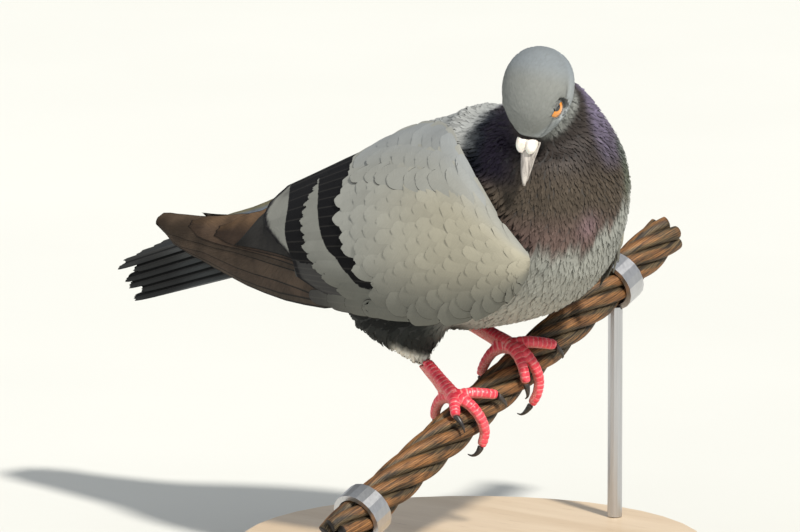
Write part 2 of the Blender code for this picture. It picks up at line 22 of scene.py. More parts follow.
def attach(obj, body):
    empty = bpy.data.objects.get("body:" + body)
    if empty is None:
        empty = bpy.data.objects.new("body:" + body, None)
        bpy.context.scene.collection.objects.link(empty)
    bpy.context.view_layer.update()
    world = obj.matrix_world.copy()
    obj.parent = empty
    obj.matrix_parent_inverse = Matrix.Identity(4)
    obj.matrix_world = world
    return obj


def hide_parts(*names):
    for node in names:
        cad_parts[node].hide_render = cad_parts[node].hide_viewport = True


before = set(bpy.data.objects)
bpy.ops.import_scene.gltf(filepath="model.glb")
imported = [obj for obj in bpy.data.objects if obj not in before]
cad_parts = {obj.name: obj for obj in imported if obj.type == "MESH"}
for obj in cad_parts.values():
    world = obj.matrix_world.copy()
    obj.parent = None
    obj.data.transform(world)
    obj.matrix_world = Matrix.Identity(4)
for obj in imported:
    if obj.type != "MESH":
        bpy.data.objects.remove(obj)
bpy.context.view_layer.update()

LOG = logging.getLogger("pigeon")
MM = 0.001
PERCH = np.array((14.0, -6.0, 72.0))
ROPE_RISE = math.radians(24.4)
ROPE_ALONG = np.array((0.0, math.cos(ROPE_RISE), math.sin(ROPE_RISE)))
ROPE_TOP = np.array((0.0, -math.sin(ROPE_RISE), math.cos(ROPE_RISE)))
FORWARD = np.array((1.0, 0.0, 0.0))
Array = np.ndarray
Colour = tuple[float, float, float]
Line = tuple[tuple[float, float], ...]
BMesh = bmesh.types.BMesh
Material = bpy.types.Material
Mesh = bpy.types.Mesh
Socket = bpy.types.NodeSocket

NO_EDGE_SHADE = 9.0  # added to a feather's distance from its edge, it leaves out the painted shadow along the edge
NO_MARK = -9.0  # far outside any dark mark
PATCH = 0.003  # across each feather's patch of the baked map
TRIES = 7  # random places tried for each root that there is room for
BARB_SLANT = 0.9  # how far barbs run back for each step outwards


class Side(Enum):
    """The bird's two sides; the value is the sign of Y."""

    RIGHT = -1
    LEFT = 1


class Slot(Enum):
    """Material slots of the record."""

    HEAD = "head_plumage"
    NECK = "neck_plumage"
    BODY = "body_plumage"
    WING = "wing_plumage"
    FLIGHT = "flight_feathers"
    TAIL = "tail_feathers"
    EYE = "eye"
    HORN = "horn"
    CERE = "cere"
    LEG = "leg_skin"
    ROPE = "perch_rope"


def tone(red: float, green: float, blue: float) -> Colour:
    """Turns display values from 0 to 255 into a linear colour."""
    return tuple(
        v / 3294.6 if v < 10.31 else ((v / 255 + 0.055) / 1.055) ** 2.4 for v in (red, green, blue)
    )


def unit(vectors: Array) -> Array:
    """Vectors of length 1, along the last axis."""
    return vectors / np.maximum(np.linalg.norm(vectors, axis=-1, keepdims=True), 1e-9)


def smooth(low: float, high: float, value: Array) -> Array:
    """An eased step from 0 at low to 1 at high."""
    t = np.clip((value - low) / (high - low), 0.0, 1.0)
    return t * t * (3 - 2 * t)


def blend(first: Array, second: Array, share: Array) -> Array:
    """Mixes two colours, or arrays of them, by a share with no colour axis."""
    share = np.asarray(share)[..., None]
    return np.asarray(first) * (1 - share) + np.asarray(second) * share


def layered(base: Colour | Array, *layers: tuple[tuple[int, int, int], Array]) -> Array:
    """A colour with others over it in order, each given from 0 to 255 and with its share."""
    made = base
    for colour, share in layers:
        made = blend(made, tone(*colour), share)
    return made


def along_surface(ways: Array, normals: Array) -> Array:
    """Ways turned to lie in the surface, at length 1."""
    return unit(ways - normals * (ways * normals).sum(1, keepdims=True))


def spline(rows: Sequence, places: Array) -> Array:
    """Reads a smooth curve through rows of numbers.

    Args:
        rows: The rows that the curve passes through.
        places: Where to read it, in rows from the first.

    Returns:
        One row of numbers for each place.
    """
    rows = np.array(rows, float).reshape(len(rows), -1)
    padded = np.vstack([2 * rows[0] - rows[1], rows, 2 * rows[-1] - rows[-2]])
    i = np.clip(np.asarray(places).astype(int), 0, len(rows) - 2)
    t = (places - i)[:, None]
    a, b, c, d = padded[i], padded[i + 1], padded[i + 2], padded[i + 3]
    return b + 0.5 * t * (c - a + t * (2 * a - 5 * b + 4 * c - d + t * (3 * (b - c) + d - a)))


def round_rope(along: float, degrees: float, distance: float) -> Array:
    """The point at an angle round the rope from its top, a distance out from its axis."""
    angle = math.radians(degrees)
    return ROPE_ALONG * along + (FORWARD * math.sin(angle) + ROPE_TOP * math.cos(angle)) * distance


# ---------------------------------------------------------------- finishes


class Nodes:
    """A short way to write a material's node tree."""

    def __init__(self, name: str) -> None:
        """Starts a material whose tree holds a Principled shader."""
        self.material = bpy.data.materials.new(name)
        self.material.use_nodes = True
        self.tree = self.material.node_tree
        self.shader = self.tree.nodes["Principled BSDF"]

    def make(self, kind: str, inputs: dict | None = None, **settings: object) -> bpy.types.Node:
        """Adds a node.

        Args:
            kind: The node's type, without its ShaderNode prefix.
            inputs: Socket name or number to a value, or to another socket to link.
            settings: The node's own properties.

        Returns:
            The new node.
        """
        node = self.tree.nodes.new("ShaderNode" + kind)
        for key, value in settings.items():
            setattr(node, key, value)
        for key, value in (inputs or {}).items():
            self.put(node.inputs[key], value)
        return node

    def put(self, socket: Socket, value: object) -> None:
        """Links a socket to another, or sets its value."""
        if isinstance(value, Socket):
            self.tree.links.new(value, socket)
        elif isinstance(value, tuple) and len(value) == 3 and socket.type == "RGBA":
            socket.default_value = (*value, 1.0)
        else:
            socket.default_value = value

    def math(self, operation: str, first: object, second: object = 0.0) -> Socket:
        """The result of a Math node on two numbers or sockets."""
        return self.make("Math", {0: first, 1: second}, operation=operation).outputs[0]

    def times(self, first: object, second: object) -> Socket:
        """The product of two numbers or sockets."""
        return self.math("MULTIPLY", first, second)

    def plus(self, first: object, second: object) -> Socket:
        """The sum of two numbers or sockets."""
        return self.math("ADD", first, second)

    def swing(self, noise: object, size: float) -> Socket:
        """A noise moved to swing round zero, made as large as the size."""
        return self.times(self.math("SUBTRACT", noise, 0.5), size)

    def step(self, value: object, low: float, high: float) -> Socket:
        """An eased step of a socket from 0 at low to 1 at high."""
        node = self.make("MapRange", {0: value, 1: low, 2: high}, interpolation_type="SMOOTHSTEP")
        return node.outputs[0]

    def mix(self, share: object, first: object, second: object, how: str = "MIX") -> Socket:
        """The result of mixing two colours."""
        inputs = {0: share, 6: first, 7: second}
        return self.make("Mix", inputs, data_type="RGBA", blend_type=how).outputs[2]

    def noise(self, vector: object, scale: float, detail: float = 3.0, rough: float = 0.5) -> Socket:
        """A noise value over a coordinate."""
        inputs = {"Vector": vector, "Scale": scale, "Detail": detail, "Roughness": rough}
        return self.make("TexNoise", inputs).outputs[0]

    def attribute(self, name: str, colour: bool = False) -> Socket:
        """A named attribute of the mesh, as a colour or a number."""
        return self.make("Attribute", attribute_name=name).outputs["Color" if colour else "Fac"]

    def scaled(self, vector: Socket, scale: Sequence[float]) -> Socket:
        """A coordinate, scaled."""
        return self.make("Mapping", {"Vector": vector, "Scale": tuple(scale)}).outputs[0]

    def place(self, scale: Sequence[float] = (1, 1, 1)) -> Socket:
        """The object's own coordinates, scaled."""
        return self.scaled(self.make("TexCoord").outputs["Object"], scale)

    def bump(self, height: object, distance: float, under: Socket | None = None) -> Socket:
        """A bumped normal, with the distance in mm, over another bump if there is one."""
        inputs = {"Height": height, "Distance": distance * MM, "Strength": 1.0}
        if under is not None:
            inputs["Normal"] = under
        return self.make("Bump", inputs).outputs[0]

    def finish(self, **sockets: object) -> Material:
        """Sets the shader's sockets, written with underscores for spaces, and returns the material."""
        for key, value in sockets.items():
            self.put(self.shader.inputs[key.replace("_", " ")], value)
        return self.material


@dataclass(frozen=True)
class PlumageFinish:
    """The finish of feathers: their colours ride on the mesh, the barbs come from here."""

    name: str
    barbs: float = 0.22  # how strongly they darken and lighten the vane
    grain: tuple[float, float] = (2.5, 26.0)  # of the barbs, across the vane and along it
    roughness: float = 0.72
    metallic: float = 0.0
    shine: float = 0.2
    bump: float = 0.12  # in mm
    shaft: float = 0.0
    # Painted shadow along the feather's edges, where a neighbour laps over them: its colour, width and
    # strength.
    rim: Colour = (0.02, 0.018, 0.016)
    edge_shade_width: float = 0.35  # in mm
    edge_shade_strength: float = 0.0
    mark: Colour = (0.0045, 0.0042, 0.005)
    ragged: float = 1.2  # how far a mark's edge strays, in mm
    mottle: float = 0.24
    streaks: float = 0.0

    def build(self) -> Material:
        """Makes the material."""
        n = Nodes(self.name)
        uv = n.make("UVMap", uv_map="barbs").outputs[0]
        across = n.math("ABSOLUTE", n.make("SeparateXYZ", {0: uv}).outputs[0])
        barbs = n.noise(n.scaled(uv, (*self.grain, 1.0)), 1.0, 2.0, 0.6)
        clumps = n.noise(n.scaled(uv, (1.2, 7.0, 1.0)), 1.0, 2.0)
        patches = n.noise(n.place(), 90.0, 3.0)
        if self.mottle > 0.5:
            patches = n.step(patches, 0.32, 0.68)
        colour = n.attribute("tint", colour=True)
        marked = n.step(n.plus(n.attribute("mark"), n.swing(clumps, self.ragged)), -0.3, 0.3)
        colour = n.mix(marked, colour, self.mark)
        # Painted shade along the feather's edges.
        if self.edge_shade_strength:
            rim = n.step(n.attribute("rim"), self.edge_shade_width, self.edge_shade_width * 0.3)
            colour = n.mix(n.times(rim, self.edge_shade_strength), colour, self.rim)
        if self.shaft:
            shaft = n.times(n.step(across, 0.045, 0.02), self.shaft)
            colour = n.mix(shaft, colour, n.mix(0.5, colour, (0.25, 0.23, 0.2)))
        shade = n.plus(n.swing(barbs, 2 * self.barbs), 1.0)
        if self.streaks:
            shade = n.plus(shade, n.swing(clumps, self.streaks))
        shade = n.times(shade, n.plus(n.times(patches, self.mottle), 1 - 0.5 * self.mottle))
        grey = n.make("CombineColor", {0: shade, 1: shade, 2: shade}).outputs[0]
        return n.finish(
            Base_Color=n.mix(1.0, colour, grey, "MULTIPLY"), Roughness=self.roughness,
            Metallic=self.metallic, Specular_IOR_Level=self.shine,
            Normal=n.bump(n.plus(barbs, n.times(clumps, 0.6)), self.bump),
        )


@dataclass(frozen=True)
class SkinFinish:
    """The skin under the coat, which carries the coat's colours."""

    name: str = "skin_under_coat"

    def build(self) -> Material:
        """Makes the material."""
        n = Nodes(self.name)
        grain = n.noise(n.place(), 900.0, 3.0)
        grey = n.mix(grain, (0.02,) * 3, (0.2,) * 3)
        colour = n.mix(0.15, n.attribute("tint", colour=True), grey)
        return n.finish(Base_Color=colour, Roughness=0.9, Normal=n.bump(grain, 0.2))


@dataclass(frozen=True)
class EyeFinish:
    """Orange iris with a dark pupil, under a wet shine."""

    name: str
    centre: tuple[float, float, float]
    axis: tuple[float, float, float]
    pupil: float = 0.38  # radians from the axis to its edge
    iris: float = 1.42

    def build(self) -> Material:
        """Makes the material."""
        n = Nodes(self.name)
        where = n.make("TexCoord").outputs["Object"]
        out = n.make("VectorMath", {0: where, 1: self.centre}, operation="SUBTRACT").outputs[0]
        out = n.make("VectorMath", {0: out}, operation="NORMALIZE").outputs[0]
        facing = n.make("VectorMath", {0: out, 1: self.axis}, operation="DOT_PRODUCT")
        ring = n.math("ARCCOSINE", facing.outputs["Value"])
        speckle = n.noise(out, 14.0, 4.0, 0.6)
        colour = n.mix(speckle, tone(206, 92, 8), tone(252, 176, 28))
        colour = n.mix(n.step(ring, self.iris * 0.55, self.iris), colour, tone(246, 172, 44))
        colour = n.mix(n.step(ring, self.pupil + 0.03, self.pupil - 0.03), colour, tone(6, 5, 5))
        colour = n.mix(n.step(ring, self.iris - 0.02, self.iris + 0.06), colour, tone(22, 16, 16))
        return n.finish(
            Base_Color=colour, Roughness=0.08, Specular_IOR_Level=0.6, Coat_Weight=1.0, Coat_Roughness=0.03
        )


@dataclass(frozen=True)
class HornFinish:
    """Bill and claws: streaked horn, darker or lighter by its two colours."""

    name: str
    dark: Colour
    light: Colour
    stretch: tuple[float, float, float] = (500.0, 500.0, 160.0)
    roughness: float = 0.42

    def build(self) -> Material:
        """Makes the material."""
        n = Nodes(self.name)
        streak = n.noise(n.place(self.stretch), 1.0, 4.0, 0.6)
        fleck = n.noise(n.place(), 1500.0, 3.0)
        colour = n.mix(n.step(streak, 0.3, 0.7), self.dark, self.light)
        colour = n.mix(n.step(fleck, 0.62, 0.75), colour, self.dark)
        height = n.plus(streak, n.times(fleck, 0.3))
        return n.finish(Base_Color=colour, Roughness=self.roughness, Normal=n.bump(height, 0.12))


@dataclass(frozen=True)
class ChalkFinish:
    """The white, powdery cere."""

    name: str = "chalky_cere"

    def build(self) -> Material:
        """Makes the material."""
        n = Nodes(self.name)
        powder = n.noise(n.place(), 1400.0, 4.0, 0.65)
        blotch = n.noise(n.place(), 420.0, 3.0)
        colour = n.mix(n.step(blotch, 0.35, 0.7), tone(244, 240, 232), tone(222, 212, 198))
        colour = n.mix(n.step(powder, 0.58, 0.8), colour, tone(196, 184, 170))
        return n.finish(
            Base_Color=colour, Roughness=0.7, Subsurface_Weight=0.1, Subsurface_Scale=0.001,
            Normal=n.bump(powder, 0.1),
        )


@dataclass(frozen=True)
class ScaleFinish:
    """Red scaly skin of the feet, with pale lines between the scutes."""

    name: str = "scaly_leg"

    def build(self) -> Material:
        """Makes the material."""
        n = Nodes(self.name)
        inputs = {"Vector": n.place(), "Scale": 1500.0}
        grains = n.make("TexVoronoi", inputs, feature="DISTANCE_TO_EDGE").outputs[0]
        scute = n.attribute("scute")
        blotch = n.noise(n.place(), 420.0, 4.0, 0.6)
        red = n.mix(n.step(blotch, 0.3, 0.7), tone(208, 38, 60), tone(238, 86, 98))
        rough = n.mix(n.step(grains, 0.03, 0.16), tone(226, 168, 156), n.mix(0.45, red, tone(214, 116, 108)))
        colour = n.mix(scute, rough, red)
        colour = n.mix(n.attribute("seam"), colour, tone(240, 196, 186))
        ankle = n.mix(blotch, tone(196, 186, 168), tone(150, 140, 126))
        colour = n.mix(n.attribute("bare"), colour, ankle)
        wet = n.mix(scute, (0.62,) * 3, (0.36,) * 3)
        return n.finish(
            Base_Color=colour, Roughness=wet, Subsurface_Weight=0.12, Subsurface_Scale=0.0012,
            Normal=n.bump(n.times(grains, n.math("SUBTRACT", 1.0, scute)), 0.25),
        )


@dataclass(frozen=True)
class RustFinish:
    """Weathered wires: grey-brown steel, orange rust on the crowns and in blotches."""

    name: str = "rusty_wire"

    def build(self) -> Material:
        """Makes the material."""
        n = Nodes(self.name)
        blotch = n.noise(n.place(), 60.0, 5.0, 0.62)
        fine = n.noise(n.place(), 900.0, 4.0, 0.7)
        streak = n.noise(n.attribute("wire", colour=True), 3.6, 2.0, 0.6)
        rust = n.mix(n.step(streak, 0.3, 0.7), tone(98, 64, 36), tone(168, 118, 70))
        steel = n.mix(n.step(streak, 0.35, 0.65), tone(44, 36, 27), tone(114, 97, 70))
        patchy = n.plus(blotch, n.times(streak, 0.3))
        amount = n.plus(n.times(n.attribute("crown"), 0.36), patchy)
        colour = n.mix(n.step(amount, 0.78, 1.08), steel, rust)
        colour = n.mix(n.times(n.step(fine, 0.55, 0.8), 0.5), colour, tone(70, 48, 32))
        colour = n.mix(n.step(n.attribute("groove"), 0.0, 0.9), colour, tone(26, 19, 15))
        return n.finish(
            Base_Color=colour, Roughness=0.62, Metallic=0.25,
            Normal=n.bump(fine, 0.18, under=n.bump(blotch, 0.4)),
        )


@dataclass(frozen=True)
class WoodFinish:
    """Pale, satin-varnished maple of the stand's base."""

    name: str = "maple"

    def build(self) -> Material:
        """Makes the material."""
        n = Nodes(self.name)
        rings = n.noise(n.place((3.0, 26.0, 10.0)), 1.6, 5.0, 0.55)
        pores = n.noise(n.place((60.0, 900.0, 400.0)), 1.0, 3.0, 0.6)
        colour = n.mix(n.step(rings, 0.3, 0.7), tone(206, 180, 146), tone(226, 204, 174))
        colour = n.mix(n.step(pores, 0.6, 0.8), colour, tone(186, 156, 122))
        return n.finish(Base_Color=colour, Roughness=0.42, Coat_Weight=0.25, Normal=n.bump(pores, 0.05))


@dataclass(frozen=True)
class SteelFinish:
    """Brushed steel of the rods and collars."""

    name: str = "brushed_steel"

    def build(self) -> Material:
        """Makes the material."""
        n = Nodes(self.name)
        brush = n.noise(n.place((900.0, 900.0, 24.0)), 1.0, 3.0, 0.7)
        tint = n.mix(brush, tone(176, 176, 178), tone(214, 214, 216))
        rough = n.mix(brush, (0.26,) * 3, (0.4,) * 3)
        return n.finish(Base_Color=tint, Metallic=1.0, Roughness=rough, Normal=n.bump(brush, 0.02))


@dataclass(frozen=True)
class FloorFinish:
    """A plain pale floor with the least of a grain."""

    name: str = "pale_floor"

    def build(self) -> Material:
        """Makes the material."""
        n = Nodes(self.name)
        grain = n.noise(n.place(), 3.0, 3.0)
        colour = n.mix(grain, tone(214, 214, 208), tone(224, 224, 219))
        return n.finish(Base_Color=colour, Roughness=0.85)


# ---------------------------------------------------------------- meshes


def vertex_values(mesh: Mesh, name: str) -> Array:
    """The places (co) or the normals (normal) of a mesh's vertices."""
    values = np.empty(len(mesh.vertices) * 3)
    mesh.vertices.foreach_get(name, values)
    return values.reshape(-1, 3)


def perch_points(mesh: Mesh) -> Array:
    """A row-frame mesh's vertices, in mm in the perch frame."""
    return vertex_values(mesh, "co") / MM - PERCH


def put_perch_points(mesh: Mesh, points: Array) -> None:
    """Writes a mesh's vertices from mm in the perch frame."""
    mesh.vertices.foreach_set("co", ((points + PERCH) * MM).ravel())
    mesh.update()


def add_attribute(mesh: Mesh, name: str, values: Array) -> None:
    """Writes one number or colour for each vertex."""
    if values.ndim == 2:
        made = mesh.attributes.new(name, "FLOAT_COLOR", "POINT")
        made.data.foreach_set("color", np.column_stack([values, np.ones(len(values))]).ravel())
    else:
        mesh.attributes.new(name, "FLOAT", "POINT").data.foreach_set("value", values)


def put_in_scene(name: str, data: bpy.types.ID) -> bpy.types.Object:
    """A new object of the scene, which holds the data."""
    made = bpy.data.objects.new(name, data)
    bpy.context.scene.collection.objects.link(made)
    return made


def dress(mesh: Mesh, finish: Material) -> None:
    """Gives a whole mesh one finish."""
    mesh.materials.clear()
    mesh.materials.append(finish)


def show(mesh: Mesh, name: str, finish: Material, stands_for: Iterable[str] = ()) -> None:
    """Puts a finished mesh in the scene as a piece that rides on the model's one body."""
    mesh.name = name
    dress(mesh, finish)
    mesh.shade_smooth()
    piece = put_in_scene(name, mesh)
    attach(piece, "root")
    if stands_for:
        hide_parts(*stands_for)


def node_copy(name: str) -> BMesh:
    """A CAD node as a welded bmesh, in mm in the perch frame."""
    shape = bmesh.new()
    shape.from_mesh(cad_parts[name].data)
    bmesh.ops.remove_doubles(shape, verts=shape.verts, dist=0.00001)
    bmesh.ops.scale(shape, vec=(1 / MM,) * 3, verts=shape.verts)
    bmesh.ops.translate(shape, vec=tuple(-PERCH), verts=shape.verts)
    bmesh.ops.recalc_face_normals(shape, faces=shape.faces)
    return shape


def join(parts: Iterable[BMesh]) -> BMesh:
    """One bmesh that holds all the parts, which are used up."""
    whole = bmesh.new()
    for part in parts:
        mesh = bpy.data.meshes.new("part")
        part.to_mesh(mesh)
        part.free()
        whole.from_mesh(mesh)
        bpy.data.meshes.remove(mesh)
    return whole


def ball(centre: Array, radius: float) -> BMesh:
    """A ball of even triangles."""
    shape = bmesh.new()
    bmesh.ops.create_icosphere(shape, subdivisions=5, radius=radius)
    bmesh.ops.translate(shape, vec=tuple(centre), verts=shape.verts)
    return shape


def loft(rows: Iterable[Iterable[Array]], capped: bool = True) -> BMesh:
    """A tube through rings of points.

    Args:
        rows: The rings, each with as many points.
        capped: Whether both ends are closed.

    Returns:
        The tube, with its faces outwards.
    """
    shape = bmesh.new()
    loops = []
    for row in rows:
        verts = [shape.verts.new(p) for p in row]
        loops.append([shape.edges.new(pair) for pair in zip(verts, verts[1:] + verts[:1])])
    for first, second in zip(loops, loops[1:]):
        bmesh.ops.bridge_loops(shape, edges=first + second)
    for loop in (loops[0], loops[-1]) if capped else ():
        bmesh.ops.contextual_create(shape, geom=loop)
    bmesh.ops.recalc_face_normals(shape, faces=shape.faces)
    return shape


def to_mesh(shape: BMesh, name: str) -> Mesh:
    """Turns a bmesh in mm in the perch frame into a mesh in metres in the row frame."""
    bmesh.ops.translate(shape, vec=tuple(PERCH), verts=shape.verts)
    bmesh.ops.scale(shape, vec=(MM,) * 3, verts=shape.verts)
    mesh = bpy.data.meshes.new(name)
    shape.to_mesh(mesh)
    shape.free()
    return mesh


def modified(mesh: Mesh, *modifiers: tuple[str, dict]) -> Mesh:
    """Returns the mesh with modifiers applied, each given as its type and its settings."""
    carrier = put_in_scene("carrier", mesh)
    for kind, settings in modifiers:
        modifier = carrier.modifiers.new(kind.lower(), kind)
        for key, value in settings.items():
            setattr(modifier, key, value)
    bpy.context.view_layer.update()
    shaped = carrier.evaluated_get(bpy.context.evaluated_depsgraph_get())
    made = bpy.data.meshes.new_from_object(shaped)
    bpy.data.objects.remove(carrier)
    return made


def refined(name: str) -> Mesh:
    """A CAD node's shape, subdivided to a smooth surface."""
    mesh = to_mesh(node_copy(name), name + "_refined")
    return modified(mesh, ("SUBSURF", {"levels": 2, "render_levels": 2}))


class Surface:
    """A smooth surface that feathers are combed over."""

    def __init__(self, points: Array, triangles: Array, normals: Array) -> None:
        """Keeps a search tree and a smooth normal for each triangle."""
        self.points, self.triangles = points, triangles
        self.tree = BVHTree.FromPolygons(points.tolist(), triangles.tolist())
        self.normals = unit(normals[triangles].mean(axis=1))

    @classmethod
    def of_mesh(cls, mesh: Mesh) -> "Surface":
        """The surface of a row-frame mesh, in mm in the perch frame."""
        mesh.calc_loop_triangles()
        triangles = np.empty(len(mesh.loop_triangles) * 3, np.int32)
        mesh.loop_triangles.foreach_get("vertices", triangles)
        return cls(perch_points(mesh), triangles.reshape(-1, 3), vertex_values(mesh, "normal"))

    def nearest(self, points: Array) -> tuple[Array, Array]:
        """The nearest surface point to each point, and its normal."""
        hits = [self.tree.find_nearest(p) for p in points.tolist()]
        return np.array([h[0] for h in hits]), self.normals[[h[2] for h in hits]]

    def scatter(
        self, spacing: Callable[[Array, Array], Array], seed: int, fine: float
    ) -> tuple[Array, Array]:
        """Spreads roots evenly, none closer to another than the spacing at its place.

        Args:
            spacing: Gives the wanted distance for points and normals; 0 leaves a place bare.
            seed: Of the random draws.
            fine: The smallest spacing, which sets how many places are tried.

        Returns:
            The roots and their normals.
        """
        rng = np.random.default_rng(seed)
        a, b, c = (self.points[self.triangles[:, k]] for k in range(3))
        area = 0.5 * np.linalg.norm(np.cross(b - a, c - a), axis=1)
        # Places are tried in proportion to how many roots each triangle can hold.
        wanted = spacing((a + b + c) / 3, self.normals)
        weight = np.where(wanted > 0, area / np.maximum(wanted, fine) ** 2, 0.0)
        tries = int(TRIES * weight.sum())
        picks = rng.choice(len(area), tries, p=weight / weight.sum())
        u, v = np.sqrt(rng.random(tries))[:, None], rng.random(tries)[:, None]
        where = a[picks] * (1 - u) + b[picks] * (u * (1 - v)) + c[picks] * (u * v)
        normals = self.normals[picks]
        reach = spacing(where, normals)
        cell = float(reach.max())
        grid: dict[tuple[int, int, int], list[int]] = {}
        kept: list[int] = []
        keys = np.floor(where / cell).astype(int).tolist()
        flat, far = where.tolist(), reach.tolist()
        around = [(i, j, k) for i in (-1, 0, 1) for j in (-1, 0, 1) for k in (-1, 0, 1)]

        def clear(n: int) -> bool:
            """Whether a place is far enough from all that are kept."""
            x, y, z = flat[n]
            for i, j, k in around:
                for other in grid.get((keys[n][0] + i, keys[n][1] + j, keys[n][2] + k), ()):
                    p, q = flat[other], 0.5 * (far[n] + far[other])
                    if (p[0] - x) ** 2 + (p[1] - y) ** 2 + (p[2] - z) ** 2 < q * q:
                        return False
            return True

        for n, reach_here in enumerate(far):
            if reach_here > 0 and clear(n):
                grid.setdefault(tuple(keys[n]), []).append(n)
                kept.append(n)
        return where[kept], normals[kept]


# ---------------------------------------------------------------- feathers


@dataclass(frozen=True)
class Vane:
    """The outline of a kind of feather.

    shares and widths give the half width, as a share of the widest, at places from root to tip;
    columns are the places across it; round pulls the corners of the tip back; torn is how far
    the tips of its barbs are out of line, as a share of its length.
    """

    shares: tuple[float, ...]
    widths: tuple[float, ...]
    columns: tuple[float, ...] = (-1.0, -0.5, 0.0, 0.5, 1.0)
    round: float = 0.12
    torn: float = 0.03
    camber: float = 0.12


TUFT = Vane((0.0, 0.35, 0.7, 1.0), (0.55, 1.0, 0.9, 0.3), (-1.0, 0.0, 1.0), round=0.18, torn=0.06)
PLUME = Vane((0.0, 0.3, 0.55, 0.78, 0.92, 1.0), (0.5, 0.85, 1.0, 0.92, 0.66, 0.22), torn=0.05)
WISP = Vane((0.0, 0.4, 0.75, 1.0), (0.6, 1.0, 0.85, 0.35), (-1.0, -0.33, 0.33, 1.0), round=0.1, torn=0.14)
COVERT = Vane(
    (0.0, 0.2, 0.4, 0.58, 0.72, 0.83, 0.91, 0.97, 1.0),
    (0.55, 0.8, 0.96, 1.0, 0.97, 0.86, 0.7, 0.5, 0.3),
    (-1.0, -0.84, -0.68, -0.5, -0.32, -0.16, 0.0, 0.16, 0.32, 0.5, 0.68, 0.84, 1.0),
    round=0.05,
    torn=0.03,
)
FLIGHT = Vane(
    (0.0, 0.12, 0.24, 0.36, 0.48, 0.58, 0.68, 0.76, 0.83, 0.89, 0.93, 0.96, 0.985, 1.0),
    (0.8, 0.88, 0.94, 1.0, 1.0, 1.0, 1.0, 1.0, 0.98, 0.94, 0.88, 0.78, 0.62, 0.36),
    (-1.0, -0.85, -0.65, -0.4, -0.15, 0.0, 0.15, 0.4, 0.65, 0.85, 1.0),
    round=0.02,
    torn=0.012,
    camber=0.08,
)


class Coat:
    """Gathers feathers as arrays and joins them to one mesh."""

    def __init__(self, name: str, finish: Material, slot: Slot, relief: float = 0.3) -> None:
        """Starts an empty coat piece; relief is how much each feather's own tilt shades it."""
        self.name, self.finish, self.slot, self.relief = name, finish, slot, relief
        self.parts: dict[str, list[Array]] = defaultdict(list)
        self.count = 0

    def add(
        self, points: Array, ways: Array, tint: Array, half_width: Array, length: Array, vane: Vane,
        root_place: Array, mark: Array | float = NO_MARK, no_edge_shade: float = NO_EDGE_SHADE,
    ) -> None:
        """Adds feathers of one kind.

        Args:
            points: Vertices, by feather, row and column.
            ways: The surface's normals, broadcastable to the points, which soften the shading.
            tint: Colours, broadcastable to the points.
            half_width: Of each feather, in mm.
            length: Of each feather, in mm.
            vane: Their outline.
            root_place: Each root's place on the unwrap of the skin.
            mark: Distance in mm inside (positive) or outside a dark mark, for each vertex.
            no_edge_shade: 0 draws the finish's painted shadow along the feather's edges, and the large
                default leaves it out.
        """
        n, rows, columns, _ = points.shape
        ways = np.broadcast_to(ways, points.shape)
        across, shares = np.array(vane.columns), np.array(vane.shares)[:, None]
        width = half_width[:, None, None] * np.array(vane.widths)[:, None]
        side = width * across
        along = length[:, None, None] * shares + 0 * side
        # How far each vertex lies from the feather's edge, for the painted shadow there.
        rim = np.minimum(width * (1 - np.abs(across)), length[:, None, None] - along + 0.05) + no_edge_shade
        # Each feather's barbs start at another place of the pattern.
        lean = (along - BARB_SLANT * np.abs(side)) / 10 + 3.7 * root_place[:, 0, None, None]
        barbs = np.stack([side / 10, lean], -1)
        spot = np.stack([0.5 * across + 0 * along, shares - 0.5 + 0 * side], -1)
        patch = root_place[:, None, None, :] + spot * PATCH
        corner = np.arange(rows * columns).reshape(rows, columns)
        quads = np.stack([corner[:-1, :-1], corner[1:, :-1], corner[1:, 1:], corner[:-1, 1:]], -1)
        quads = quads.reshape(-1, 4)
        # Each feather's faces wind so that they face outwards.
        first = points[:, :-1, :-1]
        facing = np.cross(points[:, 1:, :-1] - first, points[:, :-1, 1:] - first) * ways[:, 1:, 1:]
        outwards = facing.sum((1, 2, 3)) > 0
        turned = np.where(outwards[:, None, None], quads[None], quads[None, :, ::-1])
        start = (np.arange(n) * rows * columns)[:, None, None] + self.count
        self.parts["faces"].append((turned + start).reshape(-1, 4))
        whole = {"points": points, "ways": ways, "tint": tint, "barbs": barbs, "patch": patch}
        for key, value in whole.items():
            full = np.broadcast_to(value, (n, rows, columns, value.shape[-1]))
            self.parts[key].append(full.reshape(-1, value.shape[-1]))
        for key, value in {"mark": mark, "rim": rim}.items():
            self.parts[key].append(np.broadcast_to(value, (n, rows, columns)).ravel())
        self.count += n * rows * columns

    def build(self, stands_for: Iterable[str] = ()) -> None:
        """Joins the feathers to one piece."""
        data = {key: np.concatenate(value) for key, value in self.parts.items()}
        mesh = bpy.data.meshes.new(self.name)
        faces = data["faces"].astype(np.int32)
        mesh.vertices.add(len(data["points"]))
        mesh.loops.add(faces.size)
        mesh.polygons.add(len(faces))
        mesh.polygons.foreach_set("loop_start", np.arange(0, faces.size, 4, dtype=np.int32))
        mesh.loops.foreach_set("vertex_index", faces.ravel())
        put_perch_points(mesh, data["points"])
        for name, key in (("OFBake", "patch"), ("barbs", "barbs")):
            corners = data[key][faces.ravel()].astype(np.float32)
            mesh.uv_layers.new(name=name).data.foreach_set("uv", corners.ravel())
        for key in ("tint", "mark", "rim"):
            add_attribute(mesh, key, data[key])
        mesh.validate()
        LOG.info("%s: %d triangles", self.name, 2 * len(faces))
        show(mesh, self.name, self.finish, stands_for)
        own = vertex_values(mesh, "normal")
        shaded = unit(self.relief * own + (1 - self.relief) * data["ways"])
        mesh.normals_split_custom_set_from_vertices(shaded.tolist())


